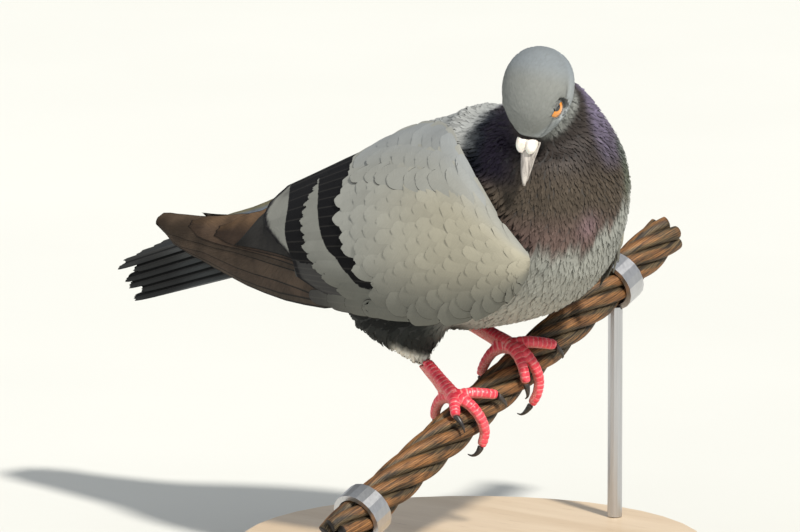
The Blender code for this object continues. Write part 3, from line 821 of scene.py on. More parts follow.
@dataclass
class Comb:
    """Lays feathers over a surface, from their roots along the lie of the coat."""

    surface: Surface
    rng: np.random.Generator

    def lay(
        self, roots: Array, heading: Array, length: Array, half_width: Array, vane: Vane, low: float,
        high: Array,
    ) -> tuple[Array, Array]:
        """Works out the vertices of feathers that follow the surface.

        Args:
            roots: Where they grow, on the surface.
            heading: The lie at each root.
            length: Of each feather.
            half_width: Of each feather.
            vane: Their outline.
            low: Height of the root over the surface.
            high: Height of each tip over the surface.

        Returns:
            Vertices by feather, row and column, and the surface's normals by feather and row.
        """
        n = len(roots)
        shares, columns = np.array(vane.shares), np.array(vane.columns)
        place, normal = self.surface.nearest(roots)
        ahead = along_surface(heading, normal)
        made = np.empty((n, len(shares), len(columns), 3))
        ways = np.empty((n, len(shares), 1, 3))
        drawn = self.rng.random((n, len(columns)))
        for r, share in enumerate(shares):
            if r:
                step = (length * (share - shares[r - 1]))[:, None]
                place, normal = self.surface.nearest(place + ahead * step)
                ahead = along_surface(ahead, normal)
            side = np.cross(normal, ahead)
            ways[:, r, 0] = normal
            lift = (low + (high - low) * share ** 1.1)[:, None]
            reach = (half_width * vane.widths[r])[:, None]
            back = (vane.round * share**4 * columns**2 + vane.torn * share**6 * drawn) * length[:, None]
            droop = vane.camber * reach * columns**2
            made[:, r] = (
                (place + normal * lift)[:, None]
                + side[:, None] * (reach * columns)[..., None]
                - ahead[:, None] * back[..., None]
                - normal[:, None] * droop[..., None]
            )
        return made, ways


# ---------------------------------------------------------------- the bird's shape

BODY_STATIONS = (
    (-138, 0, 45), (-122, 0, 50.5), (-100, 0, 58.5), (-76, 0, 64), (-50, 0, 67), (-25, 0, 69.5),
    (-2, 0, 75), (16, 0, 84), (28, -1, 96), (34, -4, 109), (37, -7, 118), (40, -13, 123.5),
    (43.5, -19, 128), (45.5, -22, 130),
)
HEAD_CENTRE = np.array((49.3, -29.5, 132.2))
BILL_WAY = unit(np.array((-0.006, -0.295, -0.956)))
CROWN_WAY = np.array((0.20, -0.968, 0.154))
CROWN_WAY = unit(CROWN_WAY - BILL_WAY * (CROWN_WAY @ BILL_WAY))
HEAD_TURN = np.stack([BILL_WAY, np.cross(CROWN_WAY, BILL_WAY), CROWN_WAY])
EYE = np.array((5.1, 7.7, 2.6))
EYE_RADIUS = 5.0
EYE_FIELD = 9.0  # how far from the eye's axis the skin is shaped round it
LID_GAP = 0.4  # between the globe and the skin over it
SOCKET_DEPTH = 3.1  # of its floor, as a height along the eye's axis from the eye's centre
LID_REACH = 3.7  # from the eye's axis to the lower lid's edge
BROW_TILT = 0.754  # of the plane that cuts the upper lid's edge, from the eye's axis
BROW_DROP = 2.55  # how far in front of the eye's centre that plane lies
EYE_AXIS = unit(np.array((0.12, 0.96, 0.22)))
EYE_UP = np.array((-0.40, 0.0, 0.92))
EYE_UP = unit(EYE_UP - EYE_AXIS * (EYE_AXIS @ EYE_UP))
GAZE = EYE_AXIS * math.cos(0.35) + EYE_UP * math.sin(0.35)


def in_head(points: Array) -> Array:
    """Points of the perch frame in the head's own frame: X to the bill, Y left, Z crown."""
    return (points - HEAD_CENTRE) @ HEAD_TURN.T


def from_head(points: Array) -> Array:
    """Points of the head's own frame in the perch frame."""
    return np.asarray(points, float) @ HEAD_TURN + HEAD_CENTRE


def near_side(points: Array) -> tuple[Array, Array]:
    """Places across and up the near side of the bird, on which the finer markings are set out."""
    x, y, z = points.T
    return 0.766 * x + 0.643 * y, -0.1116 * x + 0.133 * y + 0.985 * z


def round_eye(local: Array) -> tuple[Array, Array, Array, Array]:
    """Places of head-frame points round the nearer eye.

    Args:
        local: Points in the head's own frame.

    Returns:
        The eye's axis for each point, and the point's height along it, distance from it and share
        of that distance that lies towards the crown.
    """
    side = np.where(local[:, 1:2] < 0, -1.0, 1.0)
    flip = np.concatenate([np.ones_like(side), side, np.ones_like(side)], axis=1)
    gap = local - EYE * flip
    axis, up = EYE_AXIS * flip, EYE_UP * flip
    height = (gap * axis).sum(1)
    flat = gap - axis * height[:, None]
    reach = np.linalg.norm(flat, axis=1)
    return axis, height, reach, (flat * up).sum(1) / np.maximum(reach, 1e-6)


def lid_height(reach: Array) -> Array:
    """How far along the eye's axis the skin has to lie to clear the globe."""
    return np.sqrt(np.maximum(0.0, (EYE_RADIUS + LID_GAP) ** 2 - reach**2))


def over_brow(reach: Array, crown: Array) -> Array:
    """How far, in mm, a place on the eye lies inside the upper lid's edge."""
    forwards = math.cos(BROW_TILT) * lid_height(reach)
    return math.sin(BROW_TILT) * reach * crown - forwards + BROW_DROP


class Region(Enum):
    """Parts of the body's coat, each with its own feathers."""

    HEAD = 0
    NECK = 1
    BREAST = 2
    BACK = 3
    VENT = 4
    THIGH = 5


@dataclass
class Body:
    """The skin of the body, the lie of its coat and where each kind of feather grows."""

    voxel: float = 1.5
    swell: float = 0.3  # closes the clearance between CAD nodes
    coat_depth: float = 1.3
    head_depth: float = 0.5
    thinnest: float = 0.38  # the most of a thin part's thickness that the coat takes up
    throat_start: tuple[float, float] = (34.4, 120.7)  # of its pale patch, grey down made paler as painted light, on the near side
    throat_way: tuple[float, float] = (-0.536, -0.843)  # in which that runs down
    spine: Array = field(default_factory=lambda: spline(BODY_STATIONS, np.linspace(0, 13, 131)))
    flesh: tuple[str, ...] = ("trunk", "neck", "head", "thigh_left", "thigh_right")

    def shape(self, names: Sequence[str], extra: Sequence[BMesh] = ()) -> Mesh:
        """Joins CAD nodes, and any extra shapes, to one seamless mesh that lies under the coat."""
        parts = [node_copy(name) for name in names] + list(extra)
        for part in parts:
            for vert, normal in [(v, v.normal.copy()) for v in part.verts]:
                vert.co += normal * self.swell
        mesh = modified(
            to_mesh(join(parts), "joined"),
            ("REMESH", {"mode": "VOXEL", "voxel_size": self.voxel * MM}),
            ("SMOOTH", {"factor": 0.5, "iterations": 8}),
        )
        self.split_round_eyes(mesh)
        surface = Surface.of_mesh(mesh)
        points, normals = surface.points, vertex_values(mesh, "normal")
        rays = [(Vector(p - 0.05 * q), Vector(-q)) for p, q in zip(points, normals)]
        room = np.array([surface.tree.ray_cast(*ray)[3] or 99.0 for ray in rays])
        depth = np.minimum(self.depth(points), self.thinnest * room)
        put_perch_points(mesh, self.with_sockets(points - normals * depth[:, None]))
        return mesh

    def split_round_eyes(self, mesh: Mesh) -> None:
        """Splits the faces round each eye, so that brow and socket come out crisp."""
        _, height, reach, _ = round_eye(in_head(perch_points(mesh)))
        near = (height > 0) & (reach < EYE_FIELD)
        shape = bmesh.new()
        shape.from_mesh(mesh)
        edges = [edge for edge in shape.edges if all(near[vert.index] for vert in edge.verts)]
        bmesh.ops.subdivide_edges(shape, edges=edges, cuts=2, use_grid_fill=True)
        shape.to_mesh(mesh)
        shape.free()

    def with_sockets(self, points: Array) -> Array:
        """Sinks the skin round each eye, under a brow that stands out on the crown's side."""
        local = in_head(points)
        axis, height, reach, crown = round_eye(local)
        near = (height > 0) & (reach < EYE_FIELD)
        cap = lid_height(reach)
        socket = np.minimum(height, SOCKET_DEPTH + (reach - LID_REACH) * 0.55)
        around = np.where(reach > LID_REACH, np.maximum(socket, cap), socket)
        target = np.where(over_brow(reach, crown) > 0.05, np.maximum(height, cap), around)
        local = local + axis * np.where(near, target - height, 0.0)[:, None]
        return np.where(near[:, None], from_head(local), points)

    def depth(self, points: Array) -> Array:
        """How deep the skin lies under the coat's outside."""
        head = smooth(21.0, 15.0, np.linalg.norm(in_head(points), axis=1))
        return self.coat_depth * (1 - head) + self.head_depth * head

    def along(self, points: Array) -> tuple[Array, Array]:
        """Each point's place along the spine, from 0 at the tail to 1, and the way to the tail."""
        gaps = ((points[:, None] - self.spine[None]) ** 2).sum(-1)
        k = np.clip(gaps.argmin(1), 1, len(self.spine) - 2)
        return k / (len(self.spine) - 1), unit(self.spine[k - 1] - self.spine[k + 1])

    def lie(self, points: Array, normals: Array) -> Array:
        """The way that the coat lies."""
        _, back = self.along(points)
        local = in_head(points)
        down_neck = smooth(3.0, -15.0, local[:, 0])[:, None]
        on_head = -BILL_WAY * (1 - down_neck) - CROWN_WAY * down_neck * 1.2
        share = self.is_head(points)[:, None]
        leg = self.on_thigh(points)[:, None]
        way = back * (1 - share) + unit(on_head) * share
        way = way * (1 - leg) + np.array((-0.1, 0.0, -1.0)) * leg
        return along_surface(way, normals)

    def is_head(self, points: Array) -> Array:
        """1 on the head, falling to 0 where the neck leaves it."""
        local = in_head(points)
        reach = np.linalg.norm(local / np.array((1.3, 1.0, 1.0)), axis=1)
        under = smooth(-9.0, -14.0, local[:, 2] - 0.35 * local[:, 0])
        return smooth(18.0, 15.0, reach) * (1 - under)

    def on_thigh(self, points: Array) -> Array:
        """1 on the feathered legs."""
        return smooth(34.0, 27.0, points[:, 2]) * smooth(-78.0, -60.0, points[:, 0])

    def neck_reach(self, points: Array) -> Array:
        """How far, in mm, a point is inside the dark neck and upper breast."""
        wobble = 2.2 * np.sin(points[:, 1] * 0.55) + 1.4 * np.sin(points[:, 1] * 1.3 + points[:, 0] * 0.7)
        rise = 9.0 * smooth(-8.0, 0.0, points[:, 1]) + 13.0 * smooth(0.0, 18.0, points[:, 1])
        front = points[:, 2] - 67.0 - rise + 0.8 * wobble
        behind = 0.889 * points[:, 0] + 0.463 * points[:, 2] - 60.0 + 0.5 * wobble
        return np.minimum(front, behind)

    def region(self, points: Array, normals: Array) -> Array:
        """The region number of each point."""
        made = np.full(len(points), Region.BREAST.value)
        back = (normals[:, 2] > 0.2) & (points[:, 0] < 25) & (self.neck_reach(points) < -13)
        made[back] = Region.BACK.value
        made[(points[:, 0] < -62) & (normals[:, 2] < 0.35)] = Region.VENT.value
        made[self.neck_reach(points) > 0] = Region.NECK.value
        made[self.on_thigh(points) > 0.5] = Region.THIGH.value
        made[self.is_head(points) > 0.5] = Region.HEAD.value
        return made

    def colour(self, points: Array, normals: Array) -> Array:
        """The plumage's colour at each point, with painted shade under the wing and tail."""
        x, _, z = points.T
        up, (across, _) = normals[:, 2], near_side(points)
        heel = smooth(22.0, 18.0, z + 0.35 * x + 7.0) * smooth(30.0, 24.0, z)
        inside = self.neck_reach(points)
        made = layered(
            tone(150, 151, 144),
            ((158, 160, 158), smooth(0.1, 0.6, up)),
            ((164, 164, 156), smooth(-0.2, -0.7, up) * smooth(-10.0, 0.0, x)),
            # Painted shade under the wing and tail: the vent and the flank below the wing's lower edge are
            # darkened.
            ((38, 39, 37), smooth(-30.0, -48.0, x) * smooth(0.4, 0.0, up)),
            ((40, 42, 40), smooth(48.0, 38.0, z) * smooth(4.0, -12.0, x) * smooth(-78.0, -60.0, x)),
            ((226, 223, 212), heel * smooth(-41.0, -36.0, across)),
        )
        made = blend(made, self.neck_colour(points, inside), smooth(-5.0, 4.0, inside))
        # A pale patch on the throat: grey down, made paler as painted light where the head shades it.
        made = layered(made, ((136, 138, 134), self.throat_down_and_painted_light(points)))
        return blend(made, self.head_colour(in_head(points)), smooth(0.1, 0.7, self.is_head(points)))

    def neck_colour(self, points: Array, inside: Array) -> Array:
        """The dark neck and upper breast, with purple and green iridescence, a pink spot of painted sheen
        and painted shade on the near side.
        """
        x, y, z = points.T
        right = smooth(0.0, -16.0, y)
        patchy = 0.8 + 0.2 * np.sin(1.1 * y + 0.6 * z) * np.sin(0.9 * z - 0.5 * x)
        purple = patchy * np.interp(z, (97, 104, 120), (0.0, 0.45, 1.0)) * smooth(-5.0, 2.0, y)
        green = 0.6 * smooth(8.0, 14.0, y) * smooth(80.0, 88.0, z) * smooth(112.0, 105.0, z)
        dark = layered(
            tone(79, 70, 60),
            ((106, 88, 82), smooth(86.0, 72.0, z)),
            ((56, 50, 47), smooth(92.0, 106.0, z)),
        )
        return layered(
            dark * (1 + 0.5 * smooth(4.0, 14.0, y))[:, None],
            ((122, 113, 136), purple),
            ((92, 104, 88), green),
            # Painted shade of the head's shadow on the near side: the upper neck, dark violet of its own,
            # darkened further, and a bluish band by its edge.
            ((40, 32, 48), smooth(24.0, 14.0, inside) * smooth(90.0, 100.0, z) * right),
            ((34, 48, 52), 0.5 * smooth(9.0, 3.0, inside) * smooth(92.0, 102.0, z) * right),
            # A pink spot of painted sheen on the lower breast.
            ((168, 138, 150), 0.32 * np.exp(-(((y + 10) / 4) ** 2) - ((z - 77) / 5) ** 2)),
        )

    def throat_down_and_painted_light(self, points: Array) -> Array:
        """The share of a pale patch of grey down, made paler as painted light where the head shades it,
        which runs from cheek and chin on to the throat's near side.
        """
        local, (across, up) = in_head(points), near_side(points)
        across, up = across - self.throat_start[0], up - self.throat_start[1]
        aside, down = self.throat_way
        beside, below = -down * across + aside * up, aside * across + down * up
        made = smooth(7.0, 1.0, beside) * smooth(-6.0, 0.0, beside) * smooth(-3.0, 3.0, below)
        made = made * smooth(31.0, 24.0, below) * smooth(25.0, 21.0, np.linalg.norm(local, axis=1))
        return made * smooth(6.0, 9.0, -local[:, 2])

    def head_colour(self, local: Array) -> Array:
        """The head, bluer behind, with painted shade along the crease from bill to eye, in the head's own
        frame.
        """
        front, _, up = local.T
        head = layered(
            tone(134, 136, 132),
            ((158, 163, 164), smooth(4.0, 1.0, up)),
            ((130, 139, 147), 0.6 * smooth(-2.0, -12.0, front)),
        )
        head = head * np.interp(front, (-14.0, -2.0, 8.0), (0.86, 0.98, 1.02))[:, None]
        line = np.interp(front, (-4.0, 1.5, 5.0, 9.0, 13.0, 18.5), (3.6, 2.6, 3.2, 4.0, 2.0, -1.2))
        # Painted shade along a crease that runs past the eye to the bill.
        crease_shade = np.exp(-(((up - line) / 0.42) ** 2)) * smooth(3.4, 4.0, np.abs(front - EYE[0]))
        return head * (1 - 0.5 * (crease_shade * smooth(-5.0, -2.0, front)))[:, None]


@dataclass(frozen=True)
class Down:
    """One kind of small feather of the body's coat, in mm."""

    spacing: float
    length: float
    half_width: float
    high: float  # of the tips over the skin
    vane: Vane
    low: float = -0.15  # of the roots
    ruffle: float = 0.12  # how uneven the lie and the tips' heights are
    uneven: float = 0.05  # how much feathers differ in lightness
    root: float = 0.82  # how light the root is beside the tip, as painted shade of the feathers over it
    relief: float = 0.2


DOWNS = {
    Region.HEAD: Down(0.85, 2.8, 0.6, 0.22, TUFT, low=-0.03, uneven=0.02, root=0.97, relief=0.04),
    Region.NECK: Down(1.15, 5.0, 0.7, 0.75, WISP, ruffle=0.3, uneven=0.12),
    Region.BREAST: Down(1.5, 7.0, 1.0, 0.85, WISP),
    Region.BACK: Down(2.2, 8.0, 2.5, 0.55, PLUME, relief=0.1),
    Region.VENT: Down(2.1, 10.0, 1.5, 1.3, WISP, ruffle=0.3),
    Region.THIGH: Down(1.7, 6.5, 1.15, 1.2, WISP, ruffle=0.3),
}


@dataclass
class BodyCoat:
    """The feathers of head, neck, breast, belly, back and thighs."""

    body: Body
    surface: Surface
    covers: BVHTree
    seed: int = 11
    finest: float = 0.9  # the spacing that sets how many roots are tried

    def spacing(self, points: Array, normals: Array) -> Array:
        """The distance between roots at each point; 0 on the eyes, bill and ends."""
        made = np.array([DOWNS[region].spacing for region in Region])
        made = made[self.body.region(points, normals)]
        local = in_head(points)
        _, height, reach, crown = round_eye(local)
        from_bill = np.linalg.norm(local - np.array((20.0, 0.0, 0.0)), axis=1)
        eye = (reach < LID_REACH + 0.1) & (over_brow(reach, crown) < 0.15) & (height > 0)
        return np.where(eye | ((local[:, 0] > 17.6) & (from_bill < 8.0)), 0.0, made)

    def unwrap(self, points: Array, region: Region) -> Array:
        """Each root's place on an unwrap round the spine, or round the head's own axis."""
        if region is Region.HEAD:
            front, left, crown = in_head(points).T
            return np.stack([np.arctan2(left, crown) / 6.6 + 0.5, (front + 21) / 44], -1)
        place, back = self.body.along(points)
        gap = points - self.body.spine[(place * (len(self.body.spine) - 1)).round().astype(int)]
        up = gap[:, 2] * np.abs(back[:, 0]) - gap[:, 0] * back[:, 2] * np.sign(back[:, 0])
        far = (gap * back).sum(1) * 0.004
        place = np.clip(place * 0.94 + 0.03 - far, 0.004, 0.996)
        return np.stack([np.arctan2(gap[:, 1], up) / 6.6 + 0.5, place], -1)

    def hidden(self, tips: Array, normals: Array) -> Array:
        """Whether something lies over each point."""
        rays = [(Vector(p + 0.6 * q), Vector(q), 30.0) for p, q in zip(tips, normals)]
        return np.array([self.covers.ray_cast(*ray)[0] is not None for ray in rays])

    def build(self, finishes: dict[Region, tuple[Material, Slot]]) -> None:
        """Grows every region's coat."""
        roots, normals = self.surface.scatter(self.spacing, self.seed, self.finest)
        region = self.body.region(roots, normals)
        comb = Comb(self.surface, np.random.default_rng(self.seed + 1))
        for kind in Region:
            chosen = region == kind.value
            self.grow(kind, comb, roots[chosen], normals[chosen], *finishes[kind])

    def grow(
        self, kind: Region, comb: Comb, roots: Array, normals: Array, finish: Material, slot: Slot
    ) -> None:
        """Grows the coat of one region.

        Args:
            kind: The region.
            comb: Lays the feathers, and holds the random draws.
            roots: All its roots; those that a wing hides, or that would cover an eye, are left out.
            normals: The surface's normal at each root.
            finish: Of the feathers.
            slot: The record's slot for them.
        """
        down, rng = DOWNS[kind], comb.rng
        heading = self.body.lie(roots, normals)
        tips = roots + heading * down.length
        _, height, reach, crown = round_eye(in_head(tips))
        over_root, over_tip = self.hidden(roots, normals), self.hidden(tips, normals)
        keep = ~(over_root & over_tip)
        keep &= (reach > LID_REACH) | (over_brow(reach, crown) > 0) | (height < 0)
        roots, normals, heading = roots[keep], normals[keep], heading[keep]
        n = len(roots)
        lengths = down.length * rng.uniform(0.85, 1.15, n)
        halves = down.half_width * rng.uniform(0.85, 1.15, n)
        highs = down.high * rng.uniform(1 - down.ruffle, 1 + down.ruffle, n)
        if kind is Region.BREAST:  # it lies flatter where it meets the back's plumes
            highs = highs * np.where((normals[:, 2] > 0.2) & (roots[:, 0] < 30.0), 0.35, 1.0)
        # The down at the wing's front edge laps over it.
        laps = (over_tip & ~over_root)[keep] & (roots[:, 0] > 5.0)
        highs = highs + np.where(laps, rng.uniform(0.8, 2.6, n), 0.0)
        # Painted shade: down just under the wing's lower edge is darkened.
        beneath = self.hidden(roots + np.array((0.0, -2.4, 4.6)), normals) & (roots[:, 2] < 62.0)
        turned = heading + rng.normal(0, 0.09 + 0.25 * down.ruffle, (n, 3))
        points, ways = comb.lay(roots, turned, lengths, halves, down.vane, down.low, highs)
        way = np.repeat(normals, points.shape[1] * points.shape[2], axis=0)
        tint = self.body.colour(points.reshape(-1, 3), way).reshape(points.shape)
        light = rng.normal(1.0, down.uneven, n)[:, None, None, None]
        # Painted shade: each feather darker towards its root, where others lie over it.
        painted_root_shade = (down.root + (1 - down.root) * np.array(down.vane.shares))[None, :, None, None]
        shade = 1 - 0.6 * beneath[:, None, None, None]
        coat = Coat("coat_" + kind.name.lower(), finish, slot, down.relief)
        places = self.unwrap(roots, kind)
        coat.add(points, ways, tint * light * painted_root_shade * shade, halves, lengths, down.vane, places)
        coat.build()


# ---------------------------------------------------------------- wings

# x, y, z of the folded wing's upper edge, middle line and lower edge.
WING_STATIONS = (
    (52, -39, 70, 54, -40, 66, 52, -39, 61), (42, -40.5, 80, 49, -46, 68, 47, -41, 52),
    (29, -38.5, 92, 39, -49.5, 71, 37, -43, 43), (15, -35.5, 104.5, 23, -51, 75, 22, -45, 37),
    (0, -27, 111.5, 4, -51, 77, 2, -46, 34), (-24, -16, 109.5, -23, -49, 75, -24, -45, 33),
    (-51, -11, 99, -51, -44, 69, -51, -40, 34), (-76, -9, 87, -76, -36, 63, -76, -34, 35),
    (-100, -7, 75.5, -100, -27, 57, -100, -28, 37), (-125, -6, 64, -125, -20, 53, -125, -21, 40),
    (-147, -8, 59, -147, -15, 53, -147, -16, 44.5), (-165, -11, 57, -165, -13, 55, -165, -13, 53),
)
PRIMARY_ROOTS = -44.0  # the x of them all
# Lines across the wing, as (place down from the upper edge, x).
MEDIAN_TIPS = (
    (0.0, -58), (0.18, -53.5), (0.29, -49), (0.42, -45.4), (0.52, -40), (0.62, -37), (0.66, -32),
    (0.74, -26), (0.80, -19),
)
GREATER_TIPS = (
    (0.0, -76), (0.16, -73.5), (0.38, -71), (0.5, -66), (0.62, -61), (0.72, -56), (0.82, -48),
    (0.88, -38), (0.93, -20),
)
FRONT_BAR_END = (
    (0.0, -80), (0.08, -76), (0.28, -64), (0.42, -57), (0.56, -50), (0.64, -45), (0.68, -40),
    (0.76, -34), (0.82, -28), (0.9, -16),
)
REAR_BAR_END = (
    (0.0, -99), (0.04, -97), (0.28, -85.6), (0.48, -79), (0.56, -76), (0.68, -70), (0.74, -60),
)
SECONDARY_TIPS = (
    (0.0, -101), (0.1, -105), (0.26, -103), (0.42, -96), (0.56, -84), (0.70, -70), (0.82, -67),
    (0.88, -58), (0.92, -46),
)
SECONDARY_PLACES = (
    0.90, 0.875, 0.845, 0.81, 0.77, 0.72, 0.66, 0.585, 0.50, 0.41, 0.31, 0.21, 0.11, 0.03,
)


def line_at(line: Line, b: Array) -> Array:
    """The x of a line across the wing at a place down from the upper edge."""
    return np.interp(b, [p[0] for p in line], [p[1] for p in line])


def down_at(line: Line, x: Array) -> Array:
    """The place down the wing of a line of (x, place), which runs backwards, at each x."""
    return np.interp(-x, [-p[0] for p in line], [p[1] for p in line])


PALE, ASH, CREAM = tone(129, 129, 122), tone(148, 148, 141), tone(160, 155, 138)
DUSK, SLATE = tone(64, 63, 62), tone(106, 106, 99)


def secondary_tint(x: Array, b: Array, share: Array) -> Array:
    """Pale secondaries, dusky low down, with a smudge near the back and a black rear edge of painted shadow.
    """
    grey = blend(PALE, DUSK, smooth(0.60, 0.72, b))
    smudge = np.exp(-(((x + 95) / 5) ** 2) - ((b - 0.07) / 0.05) ** 2)
    from_tip = (x - line_at(SECONDARY_TIPS, b)) * (1 - 0.45 * smooth(0.2, 0.45, b))
    # The black rear edge is painted shadow of the feathers' edges.
    return layered(blend(grey, DUSK, 0.7 * smudge), ((24, 23, 26), smooth(2.6, 1.5, from_tip)))


def lowest_tint(x: Array, b: Array, share: Array) -> Array:
    """The short, dusky secondaries by the wing's lower edge."""
    return blend(DUSK, SLATE, smooth(-62.0, -22.0, x))


def greater_tint(x: Array, b: Array, share: Array) -> Array:
    """Pale greater coverts, darker low down."""
    return blend(PALE, SLATE, smooth(0.66, 0.86, b))


def covert_tint(x: Array, b: Array, share: Array) -> Array:
    """Ash coverts, creamier towards the wrist and darker by the lower edge, with painted shade towards each
    root.
    """
    made = blend(ASH, CREAM, smooth(-40.0, 25.0, x) * smooth(0.1, 0.4, b))
    return blend(made, SLATE, 0.9 * smooth(0.64, 0.94, b)) * (0.9 + 0.1 * share[..., None])


def scapular_tint(x: Array, b: Array, share: Array) -> Array:
    """Scapulars, bluer by the back, with painted shade towards each root."""
    return blend(tone(144, 147, 147), ASH, smooth(0.0, 0.25, b)) * (0.9 + 0.1 * share[..., None])


def rear_bar(x: Array, b: Array) -> Array:
    """How far, in mm, a place lies inside the rear bar."""
    return np.minimum(x - line_at(REAR_BAR_END, b), (0.72 - b) * 60)


def front_bar(x: Array, b: Array) -> Array:
    """How far, in mm, a place lies inside the front bar."""
    return np.minimum(x - line_at(FRONT_BAR_END, b), (0.84 - b) * 60)


@dataclass(frozen=True)
class Primary:
    """A long feather of the folded wing tip, as lines of (x, place down the wing)."""

    tip: float
    lower: Line
    upper: Line = ()  # the wing tip's own upper edge if empty
    colour: Colour = (65, 55, 46)  # by its lower edge, from 0 to 255
    upper_colour: Colour = (84, 69, 54)
    blunt: float = 5.0  # how far from the tip it starts to narrow
    heart: float = 0.5  # where its tip lies between its upper and lower edges


TIP_EDGE = (
    (0, 0.0), (-95, 0.02), (-104, 0.14), (-112, 0.16), (-127, 0.07), (-134, 0.09), (-146, 0.02),
    (-158, -0.14), (-164, -0.3), (-167, -0.3),
)
PRIMARIES = (
    Primary(
        -138.0, ((-44, 0.22), (-110, 0.22), (-124, 0.14), (-138, 0.1)),
        ((0, -0.02), (-110, -0.05), (-130, -0.03), (-138, 0.04)),
        colour=(88, 98, 110), upper_colour=(100, 94, 70),
    ),
    Primary(
        -158.5, (
            (-44, 0.98), (-50, 1.01), (-58, 1.03), (-70, 1.05), (-83, 1.08), (-107, 1.12), (-127, 1.07),
            (-138, 1.03), (-150, 1.08), (-155, 1.19), (-159, 1.35),
        ), heart=0.9,
    ),
    Primary(
        -162.5, (
            (-44, 0.98), (-70, 0.995), (-95, 1.04), (-115, 1.05), (-127, 0.99), (-138, 0.97),
            (-148, 1.02), (-155, 1.15), (-160, 1.38), (-163, 1.4),
        ), heart=0.9, colour=(63, 51, 42),
    ),
    Primary(
        -165.0, (
            (-44, 0.96), (-61, 0.95), (-70, 0.93), (-88, 0.905), (-110, 0.9), (-122, 0.86),
            (-135, 0.82), (-146, 0.93), (-155, 1.1), (-165, 1.3),
        ), colour=(67, 55, 45), blunt=2.0, heart=0.8,
    ),
    Primary(
        -167.0, (
            (-44, 0.83), (-72, 0.79), (-84, 0.765), (-118, 0.66), (-141, 0.68), (-155, 0.8),
            (-160, 1.0), (-164, 1.3), (-167, 1.4),
        ), colour=(58, 48, 39), upper_colour=(72, 59, 47), blunt=2.0,
    ),
    Primary(
        -148.0, ((-44, 0.82), (-72, 0.745), (-110, 0.62), (-138, 0.56), (-148, 0.5)),
        colour=(70, 56, 45), upper_colour=(84, 66, 49), blunt=8.0, heart=0.6,
    ),
    Primary(
        -130.0, ((-44, 0.80), (-72, 0.71), (-110, 0.60), (-130, 0.52)),
        colour=(58, 45, 36), upper_colour=(92, 71, 51), blunt=14.0, heart=0.8,
    ),
    Primary(
        -115.0, ((-44, 0.80), (-72, 0.69), (-100, 0.60), (-114, 0.57)),
        ((0, 0.0), (-100, 0.1), (-106, 0.18), (-109, 0.36), (-114, 0.55)),
        colour=(40, 38, 36), upper_colour=(43, 42, 40), blunt=1.0, heart=0.9,
    ),
)


@dataclass
class FeatherRow:
    """Feathers of one kind that overlap side by side across the wing."""

    tips: Array  # x and place down the wing of each tip
    length: float
    half_width: float
    low: float
    high: float
    vane: Vane
    fan: float = 0.0  # how far down the wing the root lies from the tip
    # The next field at 0 paints shadow along each feather's edges.
    no_edge_shade: float = NO_EDGE_SHADE
    lowest: float = 0.985  # how far down the wing the feathers reach
    outline: Line = ()  # the line that all the tips end on, if any


